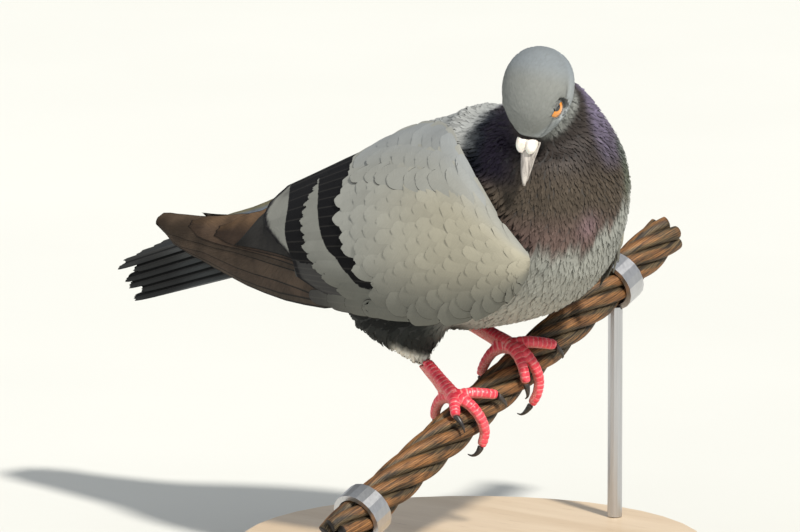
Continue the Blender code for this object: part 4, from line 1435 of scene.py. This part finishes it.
@dataclass
class Wing:
    """A folded wing, with its feathers laid on the surface of its shield."""

    side: Side
    seed: int = 5
    tip_shift: tuple[float, float] = (6.0, -3.0)  # of the left wing, in Y and Z
    bend_shift: tuple[float, float] = (-14.0, -4.0)  # of the left wrist, in X and Y

    def __post_init__(self) -> None:
        """Reads the stations into a dense table."""
        table = spline(WING_STATIONS, np.linspace(0, 11, 221))
        self.table = table[np.argsort(table[:, 3])]
        self.rng = np.random.default_rng(self.seed + self.side.value)
        self.name = self.side.name.lower()

    def stations(self, x: Array) -> Array:
        """The nine station numbers at each x of the middle line."""
        return np.stack([np.interp(x, self.table[:, 3], column) for column in self.table.T], -1)

    def right(self, x: Array, b: Array) -> Array:
        """A point of the right wing's outer surface."""
        row = self.stations(x)
        top, middle, low = row[..., 0:3], row[..., 3:6], row[..., 6:9]
        b = np.asarray(b)[..., None]
        return (1 - b) ** 2 * top + 2 * b * (1 - b) * (2 * middle - 0.5 * (top + low)) + b * b * low

    def arc(self, x: Array) -> Array:
        """The length across the wing at x."""
        row = self.stations(x)
        first = np.linalg.norm(row[..., 0:3] - row[..., 3:6], axis=-1)
        return first + np.linalg.norm(row[..., 3:6] - row[..., 6:9], axis=-1)

    def shifted(self, points: Array) -> Array:
        """Points of the right wing moved to this wing."""
        if self.side is Side.RIGHT:
            return points
        x = points[..., :1]
        made = points * np.array((1.0, -1.0, 1.0))
        made = made + np.array((0.0, *self.tip_shift)) * np.maximum(0.0, -90.0 - x) / 75.0
        return made + np.array((*self.bend_shift, 0.0)) * np.maximum(0.0, x + 10.0) / 60.0

    def point(self, x: Array, b: Array, height: Array) -> tuple[Array, Array]:
        """Points at a height over this wing's outer surface, and the surface's normals."""
        x, b = np.broadcast_arrays(x, b)
        here = self.shifted(self.right(x, b))
        along = self.shifted(self.right(x + 0.5, b)) - self.shifted(self.right(x - 0.5, b))
        across = self.shifted(self.right(x, b + 0.01)) - self.shifted(self.right(x, b - 0.01))
        normal = unit(np.cross(along, across)) * self.side.value
        return here + normal * np.asarray(height)[..., None], normal

    def lay(self, row: FeatherRow) -> tuple[Array, Array, Array, Array]:
        """The vertices of a row of feathers, their normals, and the x and b of each."""
        n = len(row.tips)
        vane = row.vane
        shares, widths = (np.array(v)[None, :, None] for v in (vane.shares, vane.widths))
        columns = np.array(vane.columns)[None, None, :]
        length = row.length * self.rng.uniform(0.95, 1.05, n)[:, None, None]
        half = row.half_width * self.rng.uniform(0.93, 1.07, n)[:, None, None]
        torn = vane.torn * shares**6 * self.rng.random((n, 1, len(vane.columns)))
        back = (vane.round * shares**4 * columns**2 + torn) * length
        x = row.tips[:, 0, None, None] + length * (1 - shares) + back
        middle = row.tips[:, 1, None, None] + row.fan * (1 - shares)
        b = np.clip(middle + half * widths * columns / self.arc(x), -0.03, row.lowest)
        if row.outline:
            x = x + (line_at(row.outline, b) - line_at(row.outline, middle) - back) * shares**6
        lift = row.low + (row.high - row.low) * shares
        lift = lift + self.rng.normal(0, 0.05, n)[:, None, None] * shares
        # The lowest coverts stand off the belly.
        lift = lift + 1.5 * smooth(0.82, 0.98, b) * smooth(-45.0, -15.0, x) * shares**2
        droop = vane.camber * half * widths * columns**2
        points, ways = self.point(x, b, lift - droop)
        return points, ways, x, b

    def add(self, coat: Coat, row: FeatherRow, tint: Callable, mark: Callable | None = None) -> None:
        """Lays a row and adds it to a coat, coloured by the functions given."""
        points, ways, x, b = self.lay(row)
        n = len(row.tips)
        shares = np.array(row.vane.shares)[None, :, None] + 0 * x
        colour = tint(x, b, shares) * self.rng.normal(1.0, 0.035, n)[:, None, None, None]
        down = np.clip(row.tips[:, 1], -0.1, 1.1) * 0.8 + 0.1
        place = np.stack([(60 - row.tips[:, 0]) / 235, down], -1)
        marks = mark(x, b) if mark else NO_MARK
        half, length = np.full(n, row.half_width), np.full(n, row.length)
        coat.add(points, ways, colour, half, length, row.vane, place, marks, row.no_edge_shade)

    def arm(self) -> BMesh:
        """The fleshy fore part of the wing, for the skin."""
        rings = []
        b = np.linspace(0.10, 0.86, 8)
        for x in np.linspace(50, -72, 18):
            outer, _ = self.point(x, b, -1.2 + 0 * b)
            inner, _ = self.point(x, b[::-1], -7.0 * min(1.0, 0.25 + (54 - x) / 26) + 0 * b)
            rings.append(np.vstack([outer, inner]))
        return loft(rings)

    def build(self, shield: Material, flight: Material) -> None:
        """Lays primaries, secondaries and all rows of coverts."""
        self.build_flight(flight)
        self.build_coverts(shield)

    def build_flight(self, finish: Material) -> None:
        """The long primaries and the inner secondaries over them, each down to its lower edge."""
        coat = Coat(f"primaries_{self.name}", finish, Slot.FLIGHT)
        shares, columns = np.array(FLIGHT.shares)[:, None], np.array(FLIGHT.columns)[None, :]
        share_down = 0.5 * (1 - columns)
        half = np.array([0.5 * float(self.arc(np.array(-100.0)))])
        for k, feather in enumerate(PRIMARIES):
            x = PRIMARY_ROOTS + (feather.tip - PRIMARY_ROOTS) * shares + 0 * columns
            lower, upper = down_at(feather.lower, x), down_at(feather.upper or TIP_EDGE, x)
            narrow = 1 - smooth(feather.blunt, 0.0, np.abs(x - feather.tip)) * 0.6
            middle = upper + (lower - upper) * feather.heart
            b = middle + (lower - (lower - upper) * share_down - middle) * narrow
            x = x + 1.2 * self.rng.random((1, len(FLIGHT.columns))) * shares**8
            lift = -3.7 + 0.25 * k + 0.45 * shares + 1.7 * smooth(-95.0, -135.0, x)
            points, ways = self.point(x, b, lift - 0.08 * np.abs(columns))
            colours = tone(*feather.colour), tone(*feather.upper_colour)
            brown = blend(*colours, smooth(0.35, 0.85, share_down + 0 * x))
            brown = blend(brown, brown * 0.6, smooth(13.0, 2.0, x - feather.tip))
            place, length = np.array([[0.1 + 0.1 * k, 0.5]]), np.array([PRIMARY_ROOTS - feather.tip])
            coat.add(points[None], ways[None], brown[None], half, length, FLIGHT, place, no_edge_shade=0.0)
        coat.build((f"wing_{self.name}_primaries",))

    def build_coverts(self, finish: Material) -> None:
        """Secondaries with the short ones low down, then greater, median, lesser coverts, scapulars."""
        coat = Coat(f"wing_coat_{self.name}", finish, Slot.WING)
        for k, down in enumerate(SECONDARY_PLACES):
            tip = np.array([[line_at(SECONDARY_TIPS, down), down - 0.02]])
            half = 9.5 - 3.5 * max(0.0, down - 0.5) * 2
            low, high, rim = -2.4 + 0.05 * k, -1.25 + 0.06 * k, 0.0 if k < 9 else NO_EDGE_SHADE
            row = FeatherRow(tip, 52.0, half, low, high, FLIGHT, 0.02, rim, outline=SECONDARY_TIPS)
            self.add(coat, row, secondary_tint, rear_bar)
        for k, tip in enumerate(((-62, 0.94), (-50, 0.94), (-38, 0.935), (-26, 0.93))):
            low, high = -2.0 + 0.08 * k, -1.1 + 0.1 * k
            row = FeatherRow(np.array([tip]), 34.0, 4.4, low, high, FLIGHT, -0.02, 0.0, lowest=1.01)
            self.add(coat, row, lowest_tint)
        for tip, k in self.row_tips(GREATER_TIPS, np.arange(0.92, 0.0, -0.062), 0.8):
            row = FeatherRow(tip, 36.0, 5.0, -1.9, -0.55 + 0.02 * k, COVERT, 0.01)
            self.add(coat, row, greater_tint, front_bar)
        for tip, k in self.row_tips(MEDIAN_TIPS, np.arange(0.86, 0.0, -0.058), 1.4):
            self.add(coat, FeatherRow(tip, 22.0, 5.0, -1.3, -0.15 + 0.01 * k, COVERT), covert_tint)
        self.add_lesser_coverts(coat)
        self.add_scapulars(coat)
        coat.build()

    def row_tips(self, line: Line, places: Array, uneven: float) -> Iterable[tuple[Array, int]]:
        """The tips of a row that ends on a line, unevenly, each as an array of one and its number."""
        x = line_at(line, places) + self.rng.normal(0, uneven, len(places))
        return [(np.array([tip]), k) for k, tip in enumerate(zip(x, places))]

    def add_lesser_coverts(self, coat: Coat) -> None:
        """Rows of lesser coverts up to the wrist, with painted shadow along the edges of the lower ones."""
        for k in range(13):
            base, half = 7.0 * (k + 1), 5.8 - 0.2 * k
            count = max(3, int(0.94 * self.arc(np.array(-35.0 + base)) / (1.25 * half)))
            places = (np.arange(count) + 0.5 * (k % 2) + 0.25) / count * 0.95
            x = np.interp(places, (0.0, 0.3, 0.6, 0.85, 1.0), (-49, -46, -37, -20, -10)) + base * 1.05
            x = np.minimum(x, 49.0) + self.rng.normal(0, 0.7, count)
            for chosen, rim in ((places > 0.62, 0.15), (places <= 0.62, NO_EDGE_SHADE)):
                tips = np.stack([x, places], -1)[chosen]
                if chosen.any():
                    row = FeatherRow(tips, 17.0 - 0.4 * k, half, -0.55, 0.0, COVERT, no_edge_shade=rim)
                    self.add(coat, row, covert_tint)

    def add_scapulars(self, coat: Coat) -> None:
        """Broad scapulars along the back, with painted shadow along the edges of the lowest of each row."""
        for k in range(10):
            x = -54.0 + 8.5 * k
            ledge = float(np.interp(x, (-56, -48, -20, -9, 8, 29), (0.12, 0.26, 0.33, 0.33, 0.29, 0.09)))
            arc = float(self.arc(np.array(x)))
            count = max(1, round(ledge * arc / 8.5))
            for m in range(count):
                b = ledge - (m + 0.5) * ledge / count
                tip = np.array([[x + self.rng.normal(0, 1.2) + 4.0 * (m % 2), b]])
                half, rim = 0.62 * ledge * arc / count, NO_EDGE_SHADE if m else 0.0
                row = FeatherRow(tip, 24.0 - 0.6 * k, half, -0.2, 0.55, COVERT, no_edge_shade=rim)
                self.add(coat, row, scapular_tint)


# ---------------------------------------------------------------- tail


@dataclass
class Tail:
    """Twelve tail feathers, folded like a roof and rolled so that the left side rides high."""

    tip: tuple[float, float, float] = (-191.0, 0.0, 33.5)
    slope: float = math.radians(20.0)
    roll: float = math.radians(46.0)
    roof: float = math.radians(23.0)
    length: float = 96.0
    half_tip: float = 15.5
    count: int = 12
    seed: int = 3
    # How much shorter each feather is than its place makes it, in mm; negative is longer.
    trims: tuple[float, ...] = (-9.0, -1.5, -6.0, -6.0, 0.5, -7.0, -5.0, -7.5, -5.0, -6.5, -4.0, -4.0)

    def point(self, feather: int, column: Array, share: Array) -> Array:
        """A point of a tail feather in the perch frame."""
        middle = (self.count - 1) / 2
        place = (feather + 0.5 * column - middle) / middle
        half_root = np.where(place < 0, 20.0, 6.0)
        half = half_root + (self.half_tip - half_root) * share
        length = self.length - 8.0 * place**2
        slope = self.roof * np.minimum(1.0, 3 * np.abs(place))
        across = place * half * np.cos(slope)
        down = np.abs(place) * half * np.sin(slope) + 0.45 * abs(feather - middle)
        local = np.stack([-length * share, across, -down], -1)
        turn = np.array(Matrix.Rotation(-self.slope, 3, "Y") @ Matrix.Rotation(self.roll, 3, "X"))
        root = np.array(self.tip) - turn @ np.array((-self.length, 0.0, 0.0))
        return local @ turn.T + root

    def build(self, finish: Material) -> None:
        """Lays the tail feathers."""
        rng = np.random.default_rng(self.seed)
        coat = Coat("tail_feathers", finish, Slot.TAIL)
        shares, columns = np.array(FLIGHT.shares)[:, None], np.array(FLIGHT.columns)[None, :]
        narrow = np.minimum(1.0, 0.55 + 0.48 * np.array(FLIGHT.widths))[:, None]
        half, length = np.array([4.5]), np.array([self.length])
        for k in range(self.count):
            inwards = float(np.sign((self.count - 1) / 2 - k))
            slant = 0.5 + 0.5 * columns * inwards
            torn = (0.016 * rng.random((1, columns.size)) + 0.028 * slant**1.5) * shares**8
            column = columns * narrow * 1.55 + 0.5 * inwards
            share = shares * (1 - torn - self.trims[k] / self.length) + 0 * columns
            points = self.point(k, column, share)
            ahead = self.point(k, column, share - 0.01) - points
            ways = unit(np.cross(ahead, self.point(k, column + 0.05, share) - points))
            ways = ways * np.sign(ways[..., 2:])
            # The middle pair lies on top, and each further feather below its inner neighbour.
            points = points - ways * (0.45 * columns * inwards + 0.2 * columns**2)[..., None]
            slate = layered(
                tone(72, 74, 74),
                ((50, 50, 49), smooth(0.55, 0.8, shares + 0 * columns)),
                # Painted shadow along the inner side, which lies under the inner neighbour.
                ((16, 16, 17), smooth(-0.35, 0.2, columns * inwards + 0 * shares) * 0.85),
            )
            if k >= 7:  # the left side lies in the shade and looks bluer
                slate = layered(slate, ((30, 36, 44), 0.8 * smooth(1.0, 0.6, shares)))
            if k in (0, self.count - 1):
                outer = smooth(0.75, 0.95, columns * -inwards + 0 * shares)
                slate = layered(slate, ((150, 150, 148), outer * smooth(0.9, 0.6, shares)))
            place = np.array([[0.08 + 0.07 * k, 0.5]])
            coat.add(points[None], ways[None], slate[None], half, length, FLIGHT, place, no_edge_shade=0.0)
        coat.build(("tail",))


# ---------------------------------------------------------------- face


@dataclass
class Face:
    """Eyes with their lids, bill and cere."""

    # How far each ring of the lid lies outside its edge, and its distance from the eye's centre.
    lid_profile: Line = ((0.0, 5.02), (0.08, 5.14), (0.25, 5.2), (0.5, 5.15), (0.8, 5.0))
    lid_points: int = 64
    lid_thickness: float = 0.3
    hood_gap: float = 0.28  # of the upper lid over the globe
    hood_thickness: float = 0.26

    def eye(self, side: Side) -> None:
        """A wet globe, the bare ring of skin that holds it and the upper lid over it."""
        name = side.name.lower()
        flip = np.array((1, side.value, 1))
        centre = from_head(EYE * flip)
        gaze = (GAZE * flip) @ HEAD_TURN
        row_centre = tuple((centre + PERCH) * MM)
        finish = EyeFinish("eye_" + name, row_centre, tuple(gaze)).build()
        globe = to_mesh(ball(centre, EYE_RADIUS), "globe")
        show(globe, f"eyeball_{name}", finish, (f"eye_{name}",))

        axis, up = (EYE_AXIS * flip) @ HEAD_TURN, (EYE_UP * flip) @ HEAD_TURN
        fore = np.cross(up, axis)
        rings = []
        for grow, radius in self.lid_profile:
            ring = []
            for k in range(self.lid_points):
                turn = math.tau * k / self.lid_points
                across = (LID_REACH + grow) * math.cos(turn)
                above = (LID_REACH + grow) * math.sin(turn)
                height = math.sqrt(max(1.0, radius**2 - across**2 - above**2))
                ring.append(centre + fore * across + up * above + axis * height)
            rings.append(ring)
        lid = to_mesh(loft(rings, capped=False), "lid")
        tones, grain = (tone(84, 80, 77), tone(134, 129, 123)), (900, 900, 900)
        finish = HornFinish("eyelid_" + name, *tones, grain, 0.6).build()
        lid = modified(lid, ("SOLIDIFY", {"thickness": self.lid_thickness * MM, "offset": 0.0}))
        show(lid, f"eyelid_{name}", finish)

        hood = ball(centre, EYE_RADIUS + self.hood_gap)
        brow = up * math.sin(BROW_TILT) - axis * math.cos(BROW_TILT)
        for place, way in ((centre - brow * BROW_DROP, brow), (centre, axis)):
            bmesh.ops.bisect_plane(
                hood, geom=hood.verts[:] + hood.edges[:] + hood.faces[:], plane_co=tuple(place),
                plane_no=tuple(way), clear_inner=True,
            )
        settings = {"thickness": self.hood_thickness * MM, "offset": -1.0}
        hood = modified(to_mesh(hood, "hood"), ("SOLIDIFY", settings))
        tones = tone(70, 70, 68), tone(116, 118, 115)
        finish = HornFinish("upper_lid_" + name, *tones, grain, 0.7).build()
        show(hood, f"upper_lid_{name}", finish)

    def build(self) -> None:
        """Makes every piece of the face."""
        for side in Side:
            self.eye(side)
        tones = tone(122, 115, 110), tone(202, 194, 186)
        horn = HornFinish("bill_horn", *tones, (700.0, 700.0, 120.0)).build()
        for name in ("bill_upper", "bill_lower"):
            show(refined(name), name + "_horn", horn, (name,))
        show(refined("cere"), "cere_lobes", ChalkFinish().build(), ("cere",))


# ---------------------------------------------------------------- feet


@dataclass
class Foot:
    """A scaly foot and its claws."""

    side: Side
    along: float  # where it stands on the rope
    ankle: tuple[float, float, float]
    # Each toe's angle round the rope and place along it at its end, and its steps down from there.
    toes: dict[str, tuple[float, float, tuple]]
    voxel: float = 0.38
    scute: float = 1.9  # the length of one
    relief: float = 0.2  # how far its ridge stands out
    shank_reach: float = 12.1  # of the shank's lower end from the rope's axis
    toe_reach: float = 11.5
    toe_arch: float = 1.3

    def paths(self) -> list[Array]:
        """The middle lines of shank and toes."""
        made = [np.linspace(self.ankle, round_rope(self.along, 0.0, self.shank_reach), 12)]
        for end_angle, end_along, hang in self.toes.values():
            points = []
            for k in range(11):
                t = k / 10
                reach = self.toe_reach
                reach += self.toe_arch * math.sin(math.pi * min(1.0, 1.4 * t)) * (1 - t)
                points.append(round_rope(self.along + end_along * t, end_angle * t, reach))
            for step in hang:
                points.append(points[-1] + np.array(step))
            made.append(np.array(points))
        return made

    def build(self, finish: Material, horn: Material) -> None:
        """Makes the foot with raised scutes, and smooth claws."""
        name = self.side.name.lower()
        mesh = modified(
            to_mesh(node_copy("foot_" + name), "foot"),
            ("SUBSURF", {"levels": 1, "render_levels": 1}),
            ("REMESH", {"mode": "VOXEL", "voxel_size": self.voxel * MM}),
            ("SMOOTH", {"factor": 0.5, "iterations": 6}),
        )
        points, normals = perch_points(mesh), vertex_values(mesh, "normal")
        best = np.full(len(points), 1e9)
        place, facing = np.zeros(len(points)), np.zeros(len(points))
        for number, path in enumerate(self.paths()):
            steps = np.linalg.norm(np.diff(path, axis=0), axis=1)
            length = np.concatenate([[0.0], np.cumsum(steps)])
            for k, step in enumerate(steps):
                way = (path[k + 1] - path[k]) / step
                share = np.clip((points - path[k]) @ way, 0.0, step)
                closest = path[k] + share[:, None] * way
                gap = np.linalg.norm(points - closest, axis=1)
                near = gap < best
                best[near] = gap[near]
                place[near] = length[k] + share[near]
                if number:  # the toes' scutes face away from the rope, and the shank's forwards
                    out = unit(closest - (closest @ ROPE_ALONG)[:, None] * ROPE_ALONG)[near]
                else:
                    out = unit(FORWARD - way * (FORWARD @ way))
                facing[near] = (unit(points[near] - closest[near]) * out).sum(-1)
        front = smooth(-0.1, 0.35, facing)
        phase = (place / self.scute) % 1.0
        ridge = np.minimum(phase / 0.25, 1.0) * np.minimum((1.0 - phase) / 0.2, 1.0)
        stout = 0.14 + 0.3 * smooth(0.0, 6.0, points[:, 2] - 15.0)  # the shank more than the toes
        put_perch_points(mesh, points + normals * (self.relief * ridge * front + stout)[:, None])
        add_attribute(mesh, "scute", front)
        add_attribute(mesh, "seam", front * smooth(0.5, 0.1, ridge) * 0.5)
        from_ankle = np.linalg.norm(points - np.array(self.ankle), axis=1)
        add_attribute(mesh, "bare", smooth(11.0, 8.5, from_ankle))
        show(mesh, f"scaly_foot_{name}", finish, (f"foot_{name}",))
        for toe in self.toes:
            node = f"claw_{name}_{toe}"
            show(refined(node), node + "_horn", horn, (node,))


# ---------------------------------------------------------------- perch and stand


@dataclass
class Rope:
    """Six strands of twisted wires round a core."""

    radius: float = 8.4
    lay: float = 102.0  # the length of one turn of a strand
    wire_lay: float = 48.0  # and of a wire in it
    low_end: float = -104.0
    high_end: float = 124.0
    wires: int = 21
    clear: float = 0.98  # keeps the drawn strand inside its solid
    lobe: float = 0.12  # how much of its radius a wire stands out
    steps: int = 200
    around: int = 105

    def strand(self, number: int, finish: Material) -> None:
        """One strand, whose section has a lobe for each outer wire and turns along it."""
        radius = self.radius / 3
        helix = self.radius - radius
        along = np.linspace(self.low_end, self.high_end, self.steps)
        turn = math.tau * (number / 6 + along / self.lay)
        out = FORWARD * np.sin(turn)[:, None] + ROPE_TOP * np.cos(turn)[:, None]
        centre = ROPE_ALONG * along[:, None] + out * helix
        way = unit(np.gradient(centre, axis=0))
        side = np.cross(way, out)
        angle = np.linspace(0, math.tau, self.around, endpoint=False)
        # The wires turn against the strands, so they run nearly along the rope.
        spin = angle[None, :] + (along * math.tau / self.wire_lay)[:, None]
        lobe = np.abs(np.cos(0.5 * self.wires * spin))
        crest = self.lobe * np.sqrt(1 - (1 - lobe) ** 2)
        reach = radius * self.clear * (1 - self.lobe + crest)
        ring = out[:, None] * np.cos(angle)[:, None] + side[:, None] * np.sin(angle)[:, None]
        mesh = to_mesh(loft(centre[:, None] + ring * reach[..., None]), "strand")
        add_attribute(mesh, "groove", np.clip(1.0 - 1.3 * lobe, 0, 1).ravel())
        wire = np.stack([np.cos(spin), np.sin(spin), 0 * spin + (along / 34.0)[:, None]], -1)
        add_attribute(mesh, "wire", wire.reshape(-1, 3) + number * 3.1)
        outermost = np.cos(angle)[None, :] + 0 * along[:, None]
        add_attribute(mesh, "crown", smooth(0.2, 0.95, outermost).ravel())
        show(mesh, f"wire_strand_{number + 1}", finish, (f"rope_strand_{number + 1}",))

    def build(self, finish: Material) -> None:
        """Makes all strands; the core keeps its solid."""
        for number in range(6):
            self.strand(number, finish)
        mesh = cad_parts["rope_core"].data
        count = len(mesh.vertices)
        add_attribute(mesh, "groove", np.ones(count))
        add_attribute(mesh, "crown", np.zeros(count))
        add_attribute(mesh, "wire", np.zeros((count, 3)))
        dress(mesh, finish)


class Stand:
    """The plain display stand, whose solids keep their shape."""

    def build(self) -> None:
        """Dresses the base in maple, and the rods and collars in brushed steel."""
        steel = SteelFinish().build()
        finishes = {name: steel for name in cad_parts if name.startswith("stand_")}
        finishes["stand_base"] = WoodFinish().build()
        for name, finish in finishes.items():
            dress(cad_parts[name].data, finish)


# ---------------------------------------------------------------- studio


@dataclass
class Studio:
    """Camera, lights and a plain floor."""

    azimuth: float = math.radians(40.0)
    elevation: float = math.radians(10.0)
    aim: tuple[float, float, float] = (-0.0191, -0.0219, 0.1235)
    distance: float = 5.0
    width: float = 0.32  # of the view where the bird is
    sensor: float = 36.0

    def build(self) -> None:
        """Sets everything up."""
        level = math.cos(self.elevation)
        east, north = math.sin(self.azimuth) * level, -math.cos(self.azimuth) * level
        to_camera = Vector((east, north, math.sin(self.elevation)))
        camera = bpy.data.cameras.new("camera")
        camera.sensor_width = self.sensor
        camera.lens = self.sensor * self.distance / self.width
        camera.clip_end = 50.0
        eye = put_in_scene("camera", camera)
        eye.location = Vector(self.aim) + to_camera * self.distance
        eye.rotation_euler = to_camera.to_track_quat("Z", "Y").to_euler()
        bpy.context.scene.camera = eye

        self.sun("key", (0.66, -0.22, 0.72), 4.1, 5.0, (1.0, 0.965, 0.90))
        self.sun("fill", (-0.5, -0.8, 0.4), 0.35, 60.0, (0.90, 0.94, 1.0))
        world = bpy.data.worlds.new("studio")
        world.use_nodes = True
        sky = world.node_tree.nodes["Background"]
        sky.inputs[0].default_value = (0.86, 0.90, 0.94, 1.0)
        sky.inputs[1].default_value = 0.52
        bpy.context.scene.world = world

        plate = bmesh.new()
        bmesh.ops.create_grid(plate, x_segments=4, y_segments=4, size=6.0)
        mesh = bpy.data.meshes.new("floor")
        plate.to_mesh(mesh)
        plate.free()
        floor = put_in_scene("floor", mesh)
        floor.location.z = -0.0002
        dress(mesh, FloorFinish().build())
        bpy.context.scene.view_settings.view_transform = "Standard"

    def sun(
        self, name: str, way: tuple[float, float, float], power: float, spread: float, tint: Colour
    ) -> None:
        """Adds a distant light that shines from a direction in the row frame."""
        light = bpy.data.lights.new(name, "SUN")
        light.energy, light.angle, light.color = power, math.radians(spread), tint
        turn = Vector(way).to_track_quat("Z", "Y").to_euler()
        put_in_scene(name, light).rotation_euler = turn


FEET = (
    Foot(Side.RIGHT, -19.2, (-25.0, -20.5, 22.0), {
        "hallux": (-82.0, -2.0, ()), "inner": (60.0, 14.0, ()),
        "middle": (104.0, 0.5, ((-0.6, -0.2, -3.2), (-1.0, -0.3, -3.0))), "outer": (36.0, -8.5, ()),
    }),
    Foot(Side.LEFT, 19.2, (-27.5, 15.0, 27.5), {
        "hallux": (-80.0, -9.0, ()), "inner": (84.0, -8.5, ()),
        "middle": (104.0, -0.5, ((-0.8, 0.0, -5.2), (-3.0, -0.6, -4.8))), "outer": (66.0, 14.5, ()),
    }),
)


def main() -> None:
    """Builds every piece."""
    logging.basicConfig(level=logging.INFO, format="%(message)s")
    Studio().build()
    body = Body()
    wings = [Wing(side) for side in Side]
    bare = Surface.of_mesh(body.shape(body.flesh))
    skin = body.shape(body.flesh, [wing.arm() for wing in wings])
    surface = Surface.of_mesh(skin)
    colour = body.colour(surface.points, vertex_values(skin, "normal"))
    shade = 0.65 + 0.33 * body.is_head(surface.points)[:, None]
    add_attribute(skin, "tint", colour * shade)
    flesh = (*body.flesh, "wing_left_shield", "wing_right_shield")
    show(skin, "skin", SkinFinish().build(), flesh)
    LOG.info("skin: %d vertices", len(skin.vertices))

    names = [f"wing_{side}_{part}" for part in ("shield", "primaries") for side in ("left", "right")]
    cover_tree = BVHTree.FromBMesh(join(node_copy(name) for name in names))

    soft = PlumageFinish("head_feathers", 0.05, (10.0, 3.0), bump=0.02, shine=0.12).build()
    glossy = PlumageFinish(
        "neck_feathers", 0.5, (22.0, 4.0), roughness=0.55, metallic=0.2, bump=0.1
    ).build()
    down = PlumageFinish("body_feathers", 0.28, (18.0, 4.0), bump=0.08).build()
    finishes = {kind: (down, Slot.BODY) for kind in Region}
    finishes |= {Region.HEAD: (soft, Slot.HEAD), Region.NECK: (glossy, Slot.NECK)}
    BodyCoat(body, bare, cover_tree).build(finishes)

    # The wing, flight and tail finishes paint shadow along the edges of their feathers.
    shield = PlumageFinish(
        "wing_feathers", 0.12, bump=0.08, shine=0.08, shaft=0.12, rim=tone(34, 30, 27),
        edge_shade_width=0.42, edge_shade_strength=0.95,
    ).build()
    flight = PlumageFinish(
        "flight_feathers", 0.36, roughness=0.62, shine=0.1, rim=tone(14, 12, 11), edge_shade_width=0.9,
        edge_shade_strength=0.95, mottle=0.55, streaks=0.6,
    ).build()
    for wing in wings:
        wing.build(shield, flight)
    vanes = PlumageFinish(
        "tail_vanes", 0.3, roughness=0.62, shine=0.1, shaft=0.15, rim=tone(12, 12, 12),
        edge_shade_width=0.5, edge_shade_strength=0.7,
    ).build()
    Tail().build(vanes)
    Face().build()
    scales = ScaleFinish().build()
    tones = tone(24, 22, 22), tone(64, 58, 54)
    claw = HornFinish("claw_horn", *tones, (600.0, 600.0, 600.0), 0.35).build()
    for foot in FEET:
        foot.build(scales, claw)
    Rope().build(RustFinish().build())
    Stand().build()


if __name__ == "__main__":
    main()
